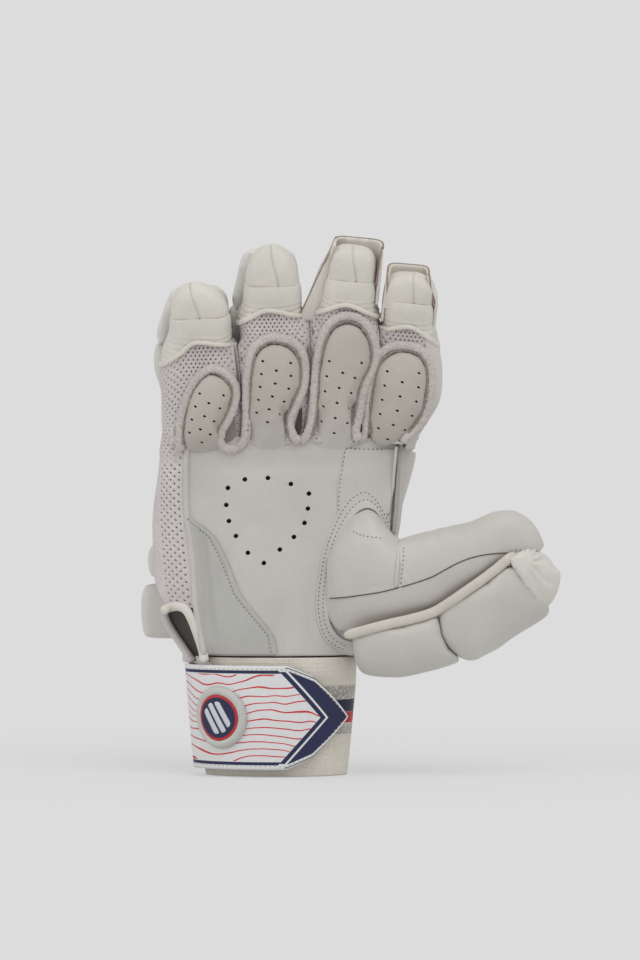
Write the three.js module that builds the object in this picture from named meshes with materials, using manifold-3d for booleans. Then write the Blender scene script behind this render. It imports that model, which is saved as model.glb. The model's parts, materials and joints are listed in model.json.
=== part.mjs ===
// A right-hand padded batting glove that stands on its cuff, palm towards -Y and thumb towards +X.
// Millimetres, +Z up. The origin is under the middle of the whole glove, on the surface it stands on.
import * as THREE from 'three';
import { LoftGeometry } from 'three/addons/geometries/LoftGeometry.js';
import { mergeVertices } from 'three/addons/utils/BufferGeometryUtils.js';
import Module from 'manifold-3d';

const wasm = await Module();
wasm.setup();

const { clamp, degToRad, lerp, smoothstep } = THREE.MathUtils;

// Gaps: between pieces sewn or laid on each other, and at a crease that flexes.
const seat = 0.35;
const crease = 0.6;

// Wrist cuff: an elastic oval band, a little wider at the hand than at its hem.
const cuff = {
  height: 60,
  wall: 3,
  hemHalfWidth: 35.5,
  topHalfWidth: 41,
  hemHalfDepth: 19.5,
  topHalfDepth: 21,
  middleX: 0.5,
  middleY: -7,
};

// Closing strap: it leaves its anchor at the little-finger side and points across the front.
const strap = {
  thickness: 2,
  padThickness: 1,
  halfHeight: 26,
  shoulderHalfHeight: 20.5,
  tipHalfHeight: 1.2,
  anchorStart: 70,
  anchorEnd: 181,
  tabStart: 185.5,
  shoulderStart: 277,
  shoulderEnd: 294,
  tabTip: 324,
  padStart: 232,
  padEnd: 288,
  padHalfHeight: 18,
  badgeMiddle: 231,
  badgeHalfAngle: 19,
  badgeHalfHeight: 14.5,
  badgeThickness: 1.6,
};

// Hand shell above the cuff. Each station: height, left, right, front, back, squareness of the oval.
const palmLength = 106;
const wall = 2.4;
const kneeHeight = 26;
const handLeft = -57.5;
const handRight = 68;
const palmFront = -24;
const handBack = 4.5;
const palmSquareness = 4;
const backShare = 0.86;
const palmSeam = { wrist: -35, knuckles: -43 };
const palmInnerEdge = 60.5;
const patchThickness = 1;
const patchLift = 0.8;
const edgeRollRadius = 2.1;
const ventHeight = 25;
const ventFoot = 6.5;
const sideGap = 0.8;

// Thumb hole in the palm: heights above the cuff, and the edge of the palm leather beside it.
const thumbHole = { foot: 5, head: 83, edge: 22.8 };

// Padded rolls of the back.
const rollDepth = 22;
const rollGap = 1.4;
const rollSquareness = 2.7;
const wristBars = { lowerHeight: 31, upperHeight: 19, overhang: 9, depth: 20 };

// Fingers, little to index. Widths are at the crease, the middle and the fold; base and tip are the
// lengths below and above the fold; lean and bow go to the thumb side; strip is the mesh left of the
// panel; overhang is how far the rolls reach past the finger on its left and right; tipWidth and
// tipShift place the band and the tip's pad.
const fingers = [
  {
    name: 'little', widths: [38, 40, 34], base: 51, tip: 29, lean: -1.5, bow: 0.5,
    strip: 11.5, overhang: [3, 0], tipWidth: 29, tipShift: 1.5,
  },
  {
    name: 'ring', widths: [28.6, 32.6, 32], base: 67, tip: 32, lean: -1, bow: 3,
    strip: 6.4, overhang: [0, 0], tipWidth: 27, tipShift: 2,
  },
  {
    name: 'middle', widths: [31, 32.4, 31], base: 70, tip: 29, lean: 5.5, bow: 2.5,
    strip: 6, overhang: [0, 0], tipWidth: 24.5, tipShift: 0.5,
  },
  {
    name: 'index', widths: [27.6, 28.6, 27.4], base: 59, tip: 26, lean: 5, bow: 3,
    strip: 4.8, overhang: [0, 3], tipWidth: 23, tipShift: 0,
  },
];
const fingerGap = 1.8;
const stall = { depth: 22, wall: 2.2, squareness: 4, tilt: 8, tipTilt: 14, levelReach: 16 };
const panel = { foot: 1, edge: 1.3, crown: 6, archHeight: 14, fromFold: 12, rightMargin: 4.8 };
const binding = { radius: 1.7, foot: 4, inset: 0.5 };
const band = { height: 13, wall: 2.4, proud: 1.2, back: 12, overlap: 0.9 };
const guard = { fingers: ['middle', 'index'], wall: 1.8, rise: 1, front: 3 };
const fingerRoll = { depth: 21, tipDepth: 19, waist: 27, waistShare: 0.84, belowTip: 7 };

// Thumb, in the hand's frame above the cuff. Stations pair a point on the pad side with one below it.
const thumb = {
  hingeX: 24,
  wall: 2.4,
  halfDepth: 19,
  tipHalfDepth: 14,
  middleY: -29,
  forwardSlope: 0.08,
  foldX: 82,
  foldZ: 65.2,
  bindingRadius: 2.3,
  bindingRise: 2.3,
  bindingInset: 1.6,
  rollHalfDepth: 20,
  cuffClearance: 2.2,
  bindingEnds: { start: 2.3, fold: 2.5, tip: 5, cap: 1.7 },
};

const colours = {
  leather: [0xd2cec6, 0.55],
  panelLeather: [0xc4beb3, 0.6],
  patch: [0xbfc0bc, 0.6],
  mesh: [0xb8b1aa, 0.85],
  towelling: [0xb2a99f, 0.95],
  cuffTowel: [0xcfc8b8, 0.95],
  cream: [0xded8c8, 0.6],
  strapFace: [0xe6e6e6, 0.45],
  hookLoop: [0xf0efec, 0.9],
  rubber: [0x1d2b55, 0.5],
  fibre: [0xdad6cb, 0.5],
};

function piece(name, geometry, finish) {
  const [color, roughness] = colours[finish];
  const mesh = new THREE.Mesh(geometry, new THREE.MeshStandardMaterial({ color, roughness, metalness: 0 }));
  mesh.name = name;
  return mesh;
}

function point(x, y, z) {
  return new THREE.Vector3(x, y, z);
}

function spread(first, last, count) {
  return Array.from({ length: count }, (_, i) => lerp(first, last, i / (count - 1)));
}

// Values between stations; each station is a place followed by its values.
function between(stations, place) {
  let i = 0;
  while (i < stations.length - 2 && place > stations[i + 1][0]) i += 1;
  const [low, high] = [stations[i], stations[i + 1]];
  const share = clamp((place - low[0]) / (high[0] - low[0]), 0, 1);
  return low.slice(1).map((value, k) => lerp(value, high[k + 1], share));
}

// A point on a squared oval: squareness 2 is an ellipse, 4 is nearly a rounded rectangle.
function oval(halfWidth, halfDepth, squareness, angle) {
  const power = 2 / squareness;
  const across = Math.cos(angle);
  const along = Math.sin(angle);
  return [
    halfWidth * Math.sign(across) * Math.abs(across) ** power,
    halfDepth * Math.sign(along) * Math.abs(along) ** power,
  ];
}

// How far the oval's edge has fallen away at a share of its half width.
function ovalDrop(share, squareness) {
  return 1 - (1 - Math.min(Math.abs(share), 1) ** squareness) ** (1 / squareness);
}

function solid(rows) {
  return new LoftGeometry(rows, { capStart: true, capEnd: true });
}

// A sleeve open at both ends: outer rings one way, inner rings back, closed on the first.
function sleeve(outer, inner) {
  return new LoftGeometry([...outer, ...inner.slice().reverse(), outer[0]]);
}

function toManifold(geometry) {
  const bare = new THREE.BufferGeometry().copy(geometry);
  bare.deleteAttribute('normal');
  bare.deleteAttribute('uv');
  const merged = mergeVertices(bare, 1e-4);
  return new wasm.Manifold(
    new wasm.Mesh({
      numProp: 3,
      vertProperties: Float32Array.from(merged.attributes.position.array),
      triVerts: Uint32Array.from(merged.index.array),
    }),
  );
}

function hollowed(geometry, hollow) {
  const cut = toManifold(geometry).subtract(toManifold(hollow)).getMesh();
  const result = new THREE.BufferGeometry();
  result.setAttribute('position', new THREE.BufferAttribute(cut.vertProperties, 3));
  result.setIndex(new THREE.BufferAttribute(cut.triVerts, 1));
  result.computeVertexNormals();
  return result;
}

function wallSection(outer, inner) {
  return [...outer, ...inner.slice().reverse()];
}

function cordAlong(points, radius, steps) {
  const section = new THREE.Shape(
    Array.from({ length: 6 }, (_, i) => {
      const angle = (i / 6) * 2 * Math.PI;
      return new THREE.Vector2(radius * Math.cos(angle), radius * Math.sin(angle));
    }),
  );
  const extrudePath = new THREE.CatmullRomCurve3(points);
  return new THREE.ExtrudeGeometry(section, { steps, extrudePath, bevelEnabled: false });
}

// A padded roll along Z: flat where it is sewn on, crowned behind, drawn in at its ends and waist.
// Each row: height, share of the width, share of the depth, sideways shift, share of the slopes that
// turn the row level with what the roll meets.
function paddedRoll(halfWidth, front, depth, rows, slopes = { back: 0, side: 0 }) {
  return solid(
    rows.map(([z, widthShare, depthShare, shift = 0, level = 0]) =>
      spread(0, Math.PI, 11).map((angle) => {
        const [across, out] = oval(halfWidth * widthShare, depth * depthShare, rollSquareness, angle);
        const x = shift + across;
        const y = front + out;
        return point(x, y, z + level * (slopes.side * x - slopes.back * y));
      }),
    ),
  );
}

// Rows of a roll between two ends, with an optional drawn-in waist between them.
function rollRows(foot, head, end) {
  return [
    [foot, 0.86, 0.5],
    [foot + 0.35 * end, 0.96, 0.8],
    [foot + end, 1, 0.97],
    [(foot + head) / 2, 1, 1],
    [head - end, 1, 0.97],
    [head - 0.35 * end, 0.96, 0.8],
    [head, 0.86, 0.5],
  ];
}

// Cuff and strap

function cuffHalves(z) {
  const share = (z / cuff.height) ** 0.8;
  return [
    lerp(cuff.hemHalfWidth, cuff.topHalfWidth, share),
    lerp(cuff.hemHalfDepth, cuff.topHalfDepth, share),
  ];
}

function onCuff(angle, z, offset) {
  const [halfWidth, halfDepth] = cuffHalves(z);
  const [x, y] = oval(halfWidth + offset, halfDepth + offset, 2, angle);
  return point(cuff.middleX + x, cuff.middleY + y, z);
}

function cuffBand() {
  const heights = spread(0, cuff.height, 4);
  const turns = spread(0, 2 * Math.PI, 33).slice(0, -1);
  const ring = (offset) => heights.map((z) => turns.map((angle) => onCuff(angle, z, offset)));
  return piece('cuff_band', sleeve(ring(0), ring(-cuff.wall)), 'cuffTowel');
}

const strapMiddle = cuff.height / 2;
const padOffset = seat;
const hookOffset = padOffset + strap.padThickness + seat;
const tabOffset = hookOffset + strap.padThickness + seat;
const badgeOffset = tabOffset + strap.thickness + seat;

// A strip round the cuff from one angle to another; halfHeight gives its height at each angle.
function cuffStrip(from, to, steps, offset, thickness, halfHeight) {
  return solid(
    spread(from, to, steps + 1).map((degrees) => {
      const reach = halfHeight(degrees);
      const heights = spread(strapMiddle + reach, strapMiddle - reach, 3);
      const angle = degToRad(degrees);
      const outer = heights.map((z) => onCuff(angle, z, offset + thickness));
      const inner = heights.map((z) => onCuff(angle, z, offset));
      return wallSection(outer, inner);
    }),
  );
}

function strapAnchor() {
  const { anchorStart, anchorEnd, thickness, halfHeight } = strap;
  const strip = cuffStrip(anchorStart, anchorEnd, 16, padOffset, thickness, () => halfHeight);
  return piece('strap_anchor', strip, 'strapFace');
}

// Loop pile on the cuff and hook pile inside the tab are the same patch, one over the other.
function closurePad(name, offset) {
  const { padStart, padEnd, padThickness, padHalfHeight } = strap;
  return piece(name, cuffStrip(padStart, padEnd, 8, offset, padThickness, () => padHalfHeight), 'hookLoop');
}

function strapTab() {
  const outline = [
    [strap.tabStart, strap.halfHeight],
    [strap.shoulderStart, strap.halfHeight],
    [strap.shoulderEnd, strap.shoulderHalfHeight],
    [strap.tabTip, strap.tipHalfHeight],
  ];
  const halfHeight = (degrees) => between(outline, degrees)[0];
  const strip = cuffStrip(strap.tabStart, strap.tabTip, 22, tabOffset, strap.thickness, halfHeight);
  return piece('strap_tab', strip, 'strapFace');
}

function strapBadge() {
  const { badgeMiddle, badgeHalfAngle, badgeHalfHeight, badgeThickness } = strap;
  const halfHeight = (degrees) => {
    const share = clamp((degrees - badgeMiddle) / badgeHalfAngle, -0.985, 0.985);
    return badgeHalfHeight * (1 - Math.abs(share) ** 3) ** (1 / 3);
  };
  const from = badgeMiddle - badgeHalfAngle;
  const to = badgeMiddle + badgeHalfAngle;
  return piece('strap_badge', cuffStrip(from, to, 12, badgeOffset, badgeThickness, halfHeight), 'rubber');
}

// Hand shell: heights are above the cuff

const cuffLeft = cuff.middleX - cuff.topHalfWidth;
const cuffRight = cuff.middleX + cuff.topHalfWidth;
const cuffFront = cuff.middleY - cuff.topHalfDepth;
const cuffBack = cuff.middleY + cuff.topHalfDepth;
const handStations = [
  [0, cuffLeft, cuffRight, cuffFront, cuffBack, 2.2],
  [kneeHeight / 2, lerp(cuffLeft, handLeft, 0.55), lerp(cuffRight, handRight, 0.16), -27, 11, 2.6],
  [kneeHeight, handLeft + 1.5, lerp(cuffRight, handRight, 0.34), -26.2, 8.5, 3],
  [0.45 * palmLength, handLeft + 0.5, lerp(cuffRight, handRight, 0.6), -25.4, 6.5, 3.4],
  [0.62 * palmLength, handLeft, lerp(cuffRight, handRight, 0.78), palmFront - 0.9, 5.2, 3.8],
  [palmLength, handLeft, handRight, palmFront, handBack, palmSquareness],
];

function handAt(z) {
  const [left, right, front, back, squareness] = between(handStations, z);
  return {
    middleX: (left + right) / 2,
    middleY: (front + back) / 2,
    halfWidth: (right - left) / 2,
    halfDepth: (back - front) / 2,
    squareness,
  };
}

// Front or back of the hand's oval: side is -1 for the palm and 1 for the back.
function handFace(x, z, side) {
  const at = handAt(z);
  const drop = ovalDrop((x - at.middleX) / at.halfWidth, at.squareness);
  return at.middleY + side * at.halfDepth * (1 - drop);
}

function palmLeftEdge(z) {
  return lerp(palmSeam.wrist, palmSeam.knuckles, smoothstep(z, 0, 0.6 * palmLength));
}

const holeOutline = [
  [0, cuffRight - 3.5],
  [thumbHole.foot, cuffRight - 7],
  [thumbHole.foot + 6, thumbHole.edge + 6],
  [thumbHole.foot + 14, thumbHole.edge + 1.6],
  [thumbHole.foot + 25, thumbHole.edge],
  [thumbHole.head - 39, thumbHole.edge + 1.7],
  [thumbHole.head - 28, thumbHole.edge + 5],
  [thumbHole.head - 18, thumbHole.edge + 10],
  [thumbHole.head - 9, thumbHole.edge + 16.5],
  [thumbHole.head - 3.5, thumbHole.edge + 24],
  [thumbHole.head - 1, thumbHole.edge + 31],
  [thumbHole.head + 1, palmInnerEdge - 3.5],
  [thumbHole.head + 8, palmInnerEdge - 1.4],
  [palmLength, palmInnerEdge],
];

function palmRightEdge(z) {
  return between(holeOutline, z)[0];
}

// Finger row: each finger stands beside the last, set out at the widest part of the fingers.
const fingerMiddle = 33;
let nextLeft = handLeft;
for (const finger of fingers) {
  const width = finger.widths[1];
  const lean = Math.tan(degToRad(finger.lean)) * fingerMiddle;
  finger.x = nextLeft + width / 2 - finger.bow - lean;
  nextLeft += width + fingerGap;
}

// Heads of the hand's walls, just below the fingers' level feet.
const frontHead = palmLength - seat / 2;
const backHead = palmLength - crease;

// A sheet laid on the palm, between its left and right edges.
function palmSheet(rows, columns, leftEdge, rightEdge, offset, thickness) {
  return solid(
    rows.map((z) => {
      const xs = spread(leftEdge(z), rightEdge(z), columns);
      const face = (x, shift) => point(x, handFace(x, z, -1) + shift, z);
      return wallSection(
        xs.map((x) => face(x, offset)),
        xs.map((x) => face(x, offset + thickness)),
      );
    }),
  );
}

function palmLeather() {
  const sheet = palmSheet(spread(seat, frontHead, 19), 9, palmLeftEdge, palmRightEdge, 0, wall);
  return piece('palm_leather', sheet, 'leather');
}

const heelPatchHead = 74;

function heelPatch() {
  const right = [
    [0, 1.5],
    [11, -2.5],
    [26, -12.5],
    [43, -21.5],
    [60, -30],
    [heelPatchHead, palmSeam.knuckles + 2],
  ];
  const sheet = palmSheet(
    spread(1.5, heelPatchHead, 14),
    5,
    (z) => palmLeftEdge(z) + 0.4,
    (z) => Math.max(between(right, z)[0], palmLeftEdge(z) + 1),
    -patchLift - patchThickness,
    patchThickness,
  );
  return piece('heel_patch', sheet, 'patch');
}

function indexPatch() {
  const left = 33;
  const sheet = palmSheet(
    spread(thumbHole.head + 1.5, palmLength - 2.5, 5),
    6,
    () => left,
    (z) => palmRightEdge(z) - 1,
    -patchLift - patchThickness,
    patchThickness,
  );
  return piece('index_patch', sheet, 'leather');
}

function backPanel() {
  const sheet = solid(
    spread(seat, backHead, 10).map((z) => {
      const at = handAt(z);
      const reach = backShare * at.halfWidth;
      const xs = spread(at.middleX - reach, at.middleX + reach, 11);
      const face = (x, shift) => point(x, handFace(x, z, 1) + shift, z);
      return wallSection(
        xs.map((x) => face(x, 0)),
        xs.map((x) => face(x, wall)),
      );
    }),
  );
  return piece('back_panel', sheet, 'leather');
}

// The oval's angle at a distance from its middle, as a share of the half width.
function ovalAngle(share, squareness) {
  return Math.acos(clamp(share, 0, 1) ** (squareness / 2));
}

function handPoint(angle, z, inset) {
  const at = handAt(z);
  const [x, y] = oval(at.halfWidth - inset, at.halfDepth - inset, at.squareness, angle);
  return point(at.middleX + x, at.middleY + y, z);
}

// Angles where a side wall meets the palm's edge in front and the back panel behind.
function sideAngles(z, edge, inset) {
  const at = handAt(z);
  const reach = at.halfWidth - inset;
  const front = ovalAngle((Math.abs(edge - at.middleX) + sideGap) / reach, at.squareness);
  const back = ovalAngle((backShare * at.halfWidth + sideGap) / reach, at.squareness);
  return [front, back];
}

// Little-finger side: mesh from the palm seam round to the back, with a vent above the cuff.
function ventEdge(share) {
  return lerp(ventHeight, ventFoot, smoothstep(share, 0.15, 1));
}

function sideMeshPoint(share, z, inset) {
  const [front, back] = sideAngles(z, palmLeftEdge(z), inset);
  return handPoint(lerp(Math.PI - back, Math.PI + front, share), z, inset);
}

function sideMesh() {
  const shares = spread(0, 1, 9);
  const sheet = solid(
    spread(0, 1, 10).map((v) => {
      const height = (share) => lerp(ventEdge(share), backHead, v);
      return wallSection(
        shares.map((share) => sideMeshPoint(share, height(share), 0)),
        shares.map((share) => sideMeshPoint(share, height(share), wall)),
      );
    }),
  );
  return piece('side_mesh', sheet, 'mesh');
}

function sideEdgeRoll() {
  const drop = edgeRollRadius + seat;
  const points = spread(0.04, 0.96, 9).map((share) => {
    const on = sideMeshPoint(share, ventEdge(share), wall / 2);
    return on.setZ(on.z - drop * 1.6);
  });
  return piece('side_edge_roll', cordAlong(points, edgeRollRadius, 16), 'cream');
}

// Index side: from the palm's edge round to the back, cut away in front where the thumb comes in.
function indexSide() {
  const shares = spread(0, 1, 6);
  const cutAngle = degToRad(12);
  const sheet = solid(
    spread(seat, backHead, 17).map((z) => {
      const foot = smoothstep(z, thumbHole.foot, thumbHole.foot + 8);
      const top = smoothstep(z, thumbHole.head - 6, thumbHole.head + 6);
      const face = (inset) => {
        const [front, back] = sideAngles(z, palmRightEdge(z), inset);
        const start = lerp(-front, cutAngle, foot * (1 - top));
        return shares.map((share) => handPoint(lerp(start, back, share), z, inset));
      };
      return wallSection(face(0), face(wall));
    }),
  );
  return piece('index_side', sheet, 'mesh');
}

const barFoot = 5;
const barSplit = barFoot + wristBars.lowerHeight + rollGap;
const rollFoot = barSplit + wristBars.upperHeight + rollGap;

function backRoll(finger) {
  const [left, right] = finger.overhang;
  const halfWidth = (finger.widths[0] - rollGap + left + right) / 2;
  const middle = finger.x + (right - left) / 2;
  const seats = [middle - halfWidth, middle, middle + halfWidth].map((x) => handFace(x, rollFoot, 1));
  const front = Math.max(...seats) + wall + seat;
  const rows = rollRows(rollFoot, backHead - crease, 9);
  const geometry = paddedRoll(halfWidth, front, rollDepth, rows);
  const mesh = piece(`back_roll_${finger.name}`, geometry, 'leather');
  mesh.position.x = middle;
  return mesh;
}

// A wrist bar lies across the back, tipped with the slope of the back panel.
function wristBar(name, foot, height) {
  const left = handLeft - wristBars.overhang;
  const middle = foot + height / 2;
  const right = handAt(middle).middleX + backShare * handAt(middle).halfWidth;
  const geometry = paddedRoll(height / 2, 0, wristBars.depth, rollRows(-right, -left, 8));
  const mesh = piece(name, geometry, 'leather');
  const centre = handAt(middle).middleX;
  const low = handFace(centre, foot, 1);
  const high = handFace(centre, foot + height, 1);
  const tip = Math.atan2(low - high, height);
  mesh.position.set(0, (low + high) / 2 + wall + seat / Math.cos(tip), middle);
  const across = point(0, -Math.sin(tip), Math.cos(tip));
  const behind = point(0, Math.cos(tip), Math.sin(tip));
  mesh.setRotationFromMatrix(new THREE.Matrix4().makeBasis(across, behind, point(-1, 0, 0)));
  return mesh;
}

// Fingers: each is a group at its crease, with a second group at its fold

function fingerAt(finger, z) {
  const [crease0, middle, fold] = finger.widths;
  const width = between([[0, crease0], [fingerMiddle, middle], [finger.base, fold]], z)[0];
  const along = clamp(z / finger.base, 0, 1);
  return { half: width / 2, shift: finger.bow * Math.sin(Math.PI * along) };
}

function stallFace(finger, x, z) {
  const { half, shift } = fingerAt(finger, z);
  return stall.depth * ovalDrop((x - shift) / half, stall.squareness);
}

// Slopes that turn a piece's foot level with the crease, though the finger leans and tips forward.
function footSlopes(finger) {
  const tilt = degToRad(stall.tilt);
  return { back: Math.tan(tilt), side: Math.tan(degToRad(finger.lean)) / Math.cos(tilt) };
}

// Moves points near the finger's foot so that the foot is level.
function levelled(finger, points) {
  const { back, side } = footSlopes(finger);
  return points.map((at) => {
    const share = 1 - smoothstep(at.z, 0, stall.levelReach);
    return at.setZ(at.z + share * (side * at.x - back * at.y));
  });
}

// The stall's outline from its back left, round the front, to its back right.
function stallArc(half, shift, front, back, z, squareness) {
  const depth = back - front;
  return spread(Math.PI, 2 * Math.PI, 13).map((angle) => {
    const [x, y] = oval(half, depth, squareness, angle);
    return point(shift + x, back + y, z);
  });
}

function stallWall(half, shift, front, back, z, thickness, squareness) {
  return wallSection(
    stallArc(half, shift, front, back, z, squareness),
    stallArc(half - thickness, shift, front + thickness, back, z, squareness),
  );
}

function fingerSleeve(finger) {
  const rows = spread(seat / 2, finger.base - crease / 2, 7).map((z) => {
    const { half, shift } = fingerAt(finger, z);
    return levelled(finger, stallWall(half, shift, 0, stall.depth, z, stall.wall, stall.squareness));
  });
  return piece(`${finger.name}_sleeve`, solid(rows), 'mesh');
}

// The panel's edges at a height, before its arched head draws them in.
function panelEdges(finger, z) {
  const { half, shift } = fingerAt(finger, z);
  return [shift - half + finger.strip, shift + half - panel.rightMargin];
}

function panelHead(finger) {
  return finger.base - panel.fromFold;
}

function frontPanel(finger) {
  const head = panelHead(finger);
  const archFoot = head - panel.archHeight;
  const arch = [0.4, 0.68, 0.88, 0.985].map((share) => lerp(archFoot, head, share));
  const rows = [...spread(panel.foot, archFoot, 5), ...arch].map((z) => {
    const rise = clamp((z - archFoot) / panel.archHeight, 0, 1);
    const narrow = Math.sqrt(1 - rise * rise);
    const [left, right] = panelEdges(finger, z);
    const middle = (left + right) / 2;
    const half = ((right - left) / 2) * narrow;
    const footFall = lerp(0.6, 1, smoothstep(z, 0, 9));
    const crown = panel.crown * lerp(0.25, 1, narrow) * footFall;
    const shares = spread(-1, 1, 7);
    const face = (share) => stallFace(finger, middle + half * share, z) - seat;
    const section = wallSection(
      shares.map((s) => point(middle + half * s, face(s) - panel.edge - crown * (1 - s * s) ** 0.8, z)),
      shares.map((s) => point(middle + half * s, face(s), z)),
    );
    return levelled(finger, section);
  });
  return piece(`${finger.name}_panel`, solid(rows), 'panelLeather');
}

// The towelling cord that borders the panel: up one side, over its head and down the other.
function panelBinding(finger) {
  const reach = binding.radius + 2 * seat;
  const head = panelHead(finger);
  const archFoot = head - panel.archHeight;
  const sideHeights = spread(binding.foot, archFoot, 4);
  const outline = [
    ...sideHeights.map((z) => [panelEdges(finger, z)[0] - reach, z]),
    ...spread(150, 30, 7).map((degrees) => {
      const [left, right] = panelEdges(finger, archFoot);
      const angle = degToRad(degrees);
      const x = (left + right) / 2 + ((right - left) / 2 + reach) * Math.cos(angle);
      return [x, archFoot + (panel.archHeight + reach) * Math.sin(angle)];
    }),
    ...sideHeights.toReversed().map((z) => [panelEdges(finger, z)[1] + reach, z]),
  ];
  const points = outline.map(([edge, z]) => {
    const { half, shift } = fingerAt(finger, z);
    const reachLimit = half - binding.radius - binding.inset;
    const x = clamp(edge, shift - reachLimit, shift + reachLimit);
    const step = 0.05;
    const slope = (stallFace(finger, x + step, z) - stallFace(finger, x - step, z)) / (2 * step);
    return point(x, stallFace(finger, x, z) - (binding.radius + seat) * Math.hypot(slope, 1), z);
  });
  return piece(`${finger.name}_binding`, cordAlong(points, binding.radius, 20), 'towelling');
}

function baseRoll(finger) {
  const { waist, waistShare, depth } = fingerRoll;
  const foot = seat - crease;
  const head = finger.base - crease;
  const [left, right] = finger.overhang;
  const half = (finger.widths[1] + left + right) / 2;
  const bow = (z) => fingerAt(finger, z).shift + (right - left) / 2;
  const share = (z) => (fingerAt(finger, z).half + (left + right) / 2) / half;
  const rows = [
    [foot, 0.86, 0.5, 1],
    [foot + 3, 0.96, 0.8, 0.8],
    [foot + 8, 1, 0.96, 0.5],
    [waist - 6, 1, 1, 0.1],
    [waist, 0.94, waistShare, 0],
    [waist + 6, 1, 1, 0],
    [head - 9, 1, 0.97, 0],
    [head - 3, 0.96, 0.82, 0],
    [head, 0.88, 0.55, 0],
  ].map(([z, wide, deep, level]) => [z, wide * share(z), deep, bow(z), level]);
  const geometry = paddedRoll(half, stall.depth + seat, depth, rows, footSlopes(finger));
  return piece(`${finger.name}_base_roll`, geometry, 'leather');
}

function isGuarded(finger) {
  return guard.fingers.includes(finger.name);
}

// Half widths of the tip's layers, from the outside in.
function tipHalves(finger) {
  return { outer: finger.widths[2] / 2, band: finger.tipWidth / 2, pad: finger.tipWidth / 2 - band.overlap };
}

const tipBack = 19;

function tipBand(finger) {
  const half = tipHalves(finger).band;
  const rows = spread(crease, band.height, 3).map((z) =>
    stallWall(half, finger.tipShift, -band.proud, band.back, z, band.wall, 3.4),
  );
  return piece(`${finger.name}_band`, solid(rows), 'cream');
}

function tipPad(finger) {
  const half = tipHalves(finger).pad;
  const foot = band.height + seat;
  const domeFoot = foot + 5;
  const back = isGuarded(finger) ? tipBack - guard.wall - seat : tipBack;
  const rows = [foot, domeFoot, ...[0.35, 0.62, 0.82, 0.94, 0.99].map((s) => lerp(domeFoot, finger.tip, s))];
  const rings = rows.map((z) => {
    const rise = clamp((z - domeFoot) / (finger.tip - domeFoot), 0, 1);
    const scale = (1 - rise ** 2.1) ** (1 / 2.1);
    const front = lerp(back - 3, -0.4, scale);
    return spread(0, 2 * Math.PI, 17).slice(0, -1).map((angle) => {
      const [x, y] = oval(half * scale, (back - front) / 2, 2.6, angle);
      return point(finger.tipShift + x, (front + back) / 2 + y, z);
    });
  });
  return piece(`${finger.name}_tip_pad`, solid(rings), 'cream');
}

function tipRoll(finger) {
  const half = tipHalves(finger).outer;
  const head = finger.tip - fingerRoll.belowTip;
  const slopes = { back: Math.tan(degToRad(stall.tipTilt)), side: 0 };
  const rows = [
    [2 * crease, 0.88, 0.55, 0, 1],
    [4, 0.97, 0.84, 0, 0.9],
    [8, 1, 0.98, 0, 0.7],
    [head - 7, 0.99, 0.96, 0, 0.3],
    [head - 2.5, 0.9, 0.8, 0, 0.1],
    [head, 0.74, 0.55],
  ];
  const geometry = paddedRoll(half, tipBack + seat, fingerRoll.tipDepth, rows, slopes);
  return piece(`${finger.name}_tip_roll`, geometry, 'leather');
}

// A stiff fibre hood round the sides and back of the tip, open to the palm side.
function tipGuard(finger) {
  const half = tipHalves(finger).outer;
  const depth = tipBack - guard.front;
  const arc = (inset, z) =>
    spread(0, Math.PI, 15).map((angle) => {
      const [x, y] = oval(half - inset, depth - inset, 6, angle);
      return point(x, guard.front + y, z);
    });
  const heights = spread(crease, finger.tip + guard.rise, 4);
  const rows = heights.map((z) => wallSection(arc(0, z), arc(guard.wall, z)));
  return piece(`${finger.name}_tip_guard`, solid(rows), 'fibre');
}

function makeFinger(finger) {
  const group = new THREE.Group();
  group.position.set(finger.x, palmFront - 1.5, palmLength);
  group.rotation.set(degToRad(stall.tilt), degToRad(finger.lean), 0, 'YXZ');
  group.add(fingerSleeve(finger), frontPanel(finger), panelBinding(finger), baseRoll(finger));
  const tip = new THREE.Group();
  tip.position.z = finger.base;
  tip.rotation.x = degToRad(stall.tipTilt);
  tip.add(tipBand(finger), tipPad(finger), tipRoll(finger));
  if (isGuarded(finger)) tip.add(tipGuard(finger));
  group.add(tip);
  return group;
}

// Thumb: heights are above the cuff

function thumbY(x) {
  return thumb.middleY - thumb.forwardSlope * (x - thumb.foldX);
}

// A ring of the thumb's sleeve between its pad-side point and its lower point.
function thumbRing([topX, topZ, bottomX, bottomZ, halfDepth], inset) {
  const middle = [(topX + bottomX) / 2, (topZ + bottomZ) / 2];
  const half = Math.hypot(topX - bottomX, topZ - bottomZ) / 2;
  const up = [(topX - middle[0]) / half, (topZ - middle[1]) / half];
  return spread(0, 2 * Math.PI, 21).slice(0, -1).map((angle) => {
    const [y, rise] = oval(halfDepth - inset, half - inset, 2.7, angle);
    return point(middle[0] + up[0] * rise, thumbY(middle[0]) + y, middle[1] + up[1] * rise);
  });
}

const sleeveStart = 62.6;
const sleeveMiddle = (sleeveStart + thumb.foldX) / 2;
const baseSleeveStations = [
  [sleeveStart, 59, sleeveStart, 18.5, thumb.halfDepth],
  [sleeveMiddle, thumb.foldZ - 3.2, sleeveMiddle, 20.8, thumb.halfDepth],
  [thumb.foldX - seat / 2, thumb.foldZ - 1, thumb.foldX - seat / 2, 24.2, thumb.halfDepth],
];
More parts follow.
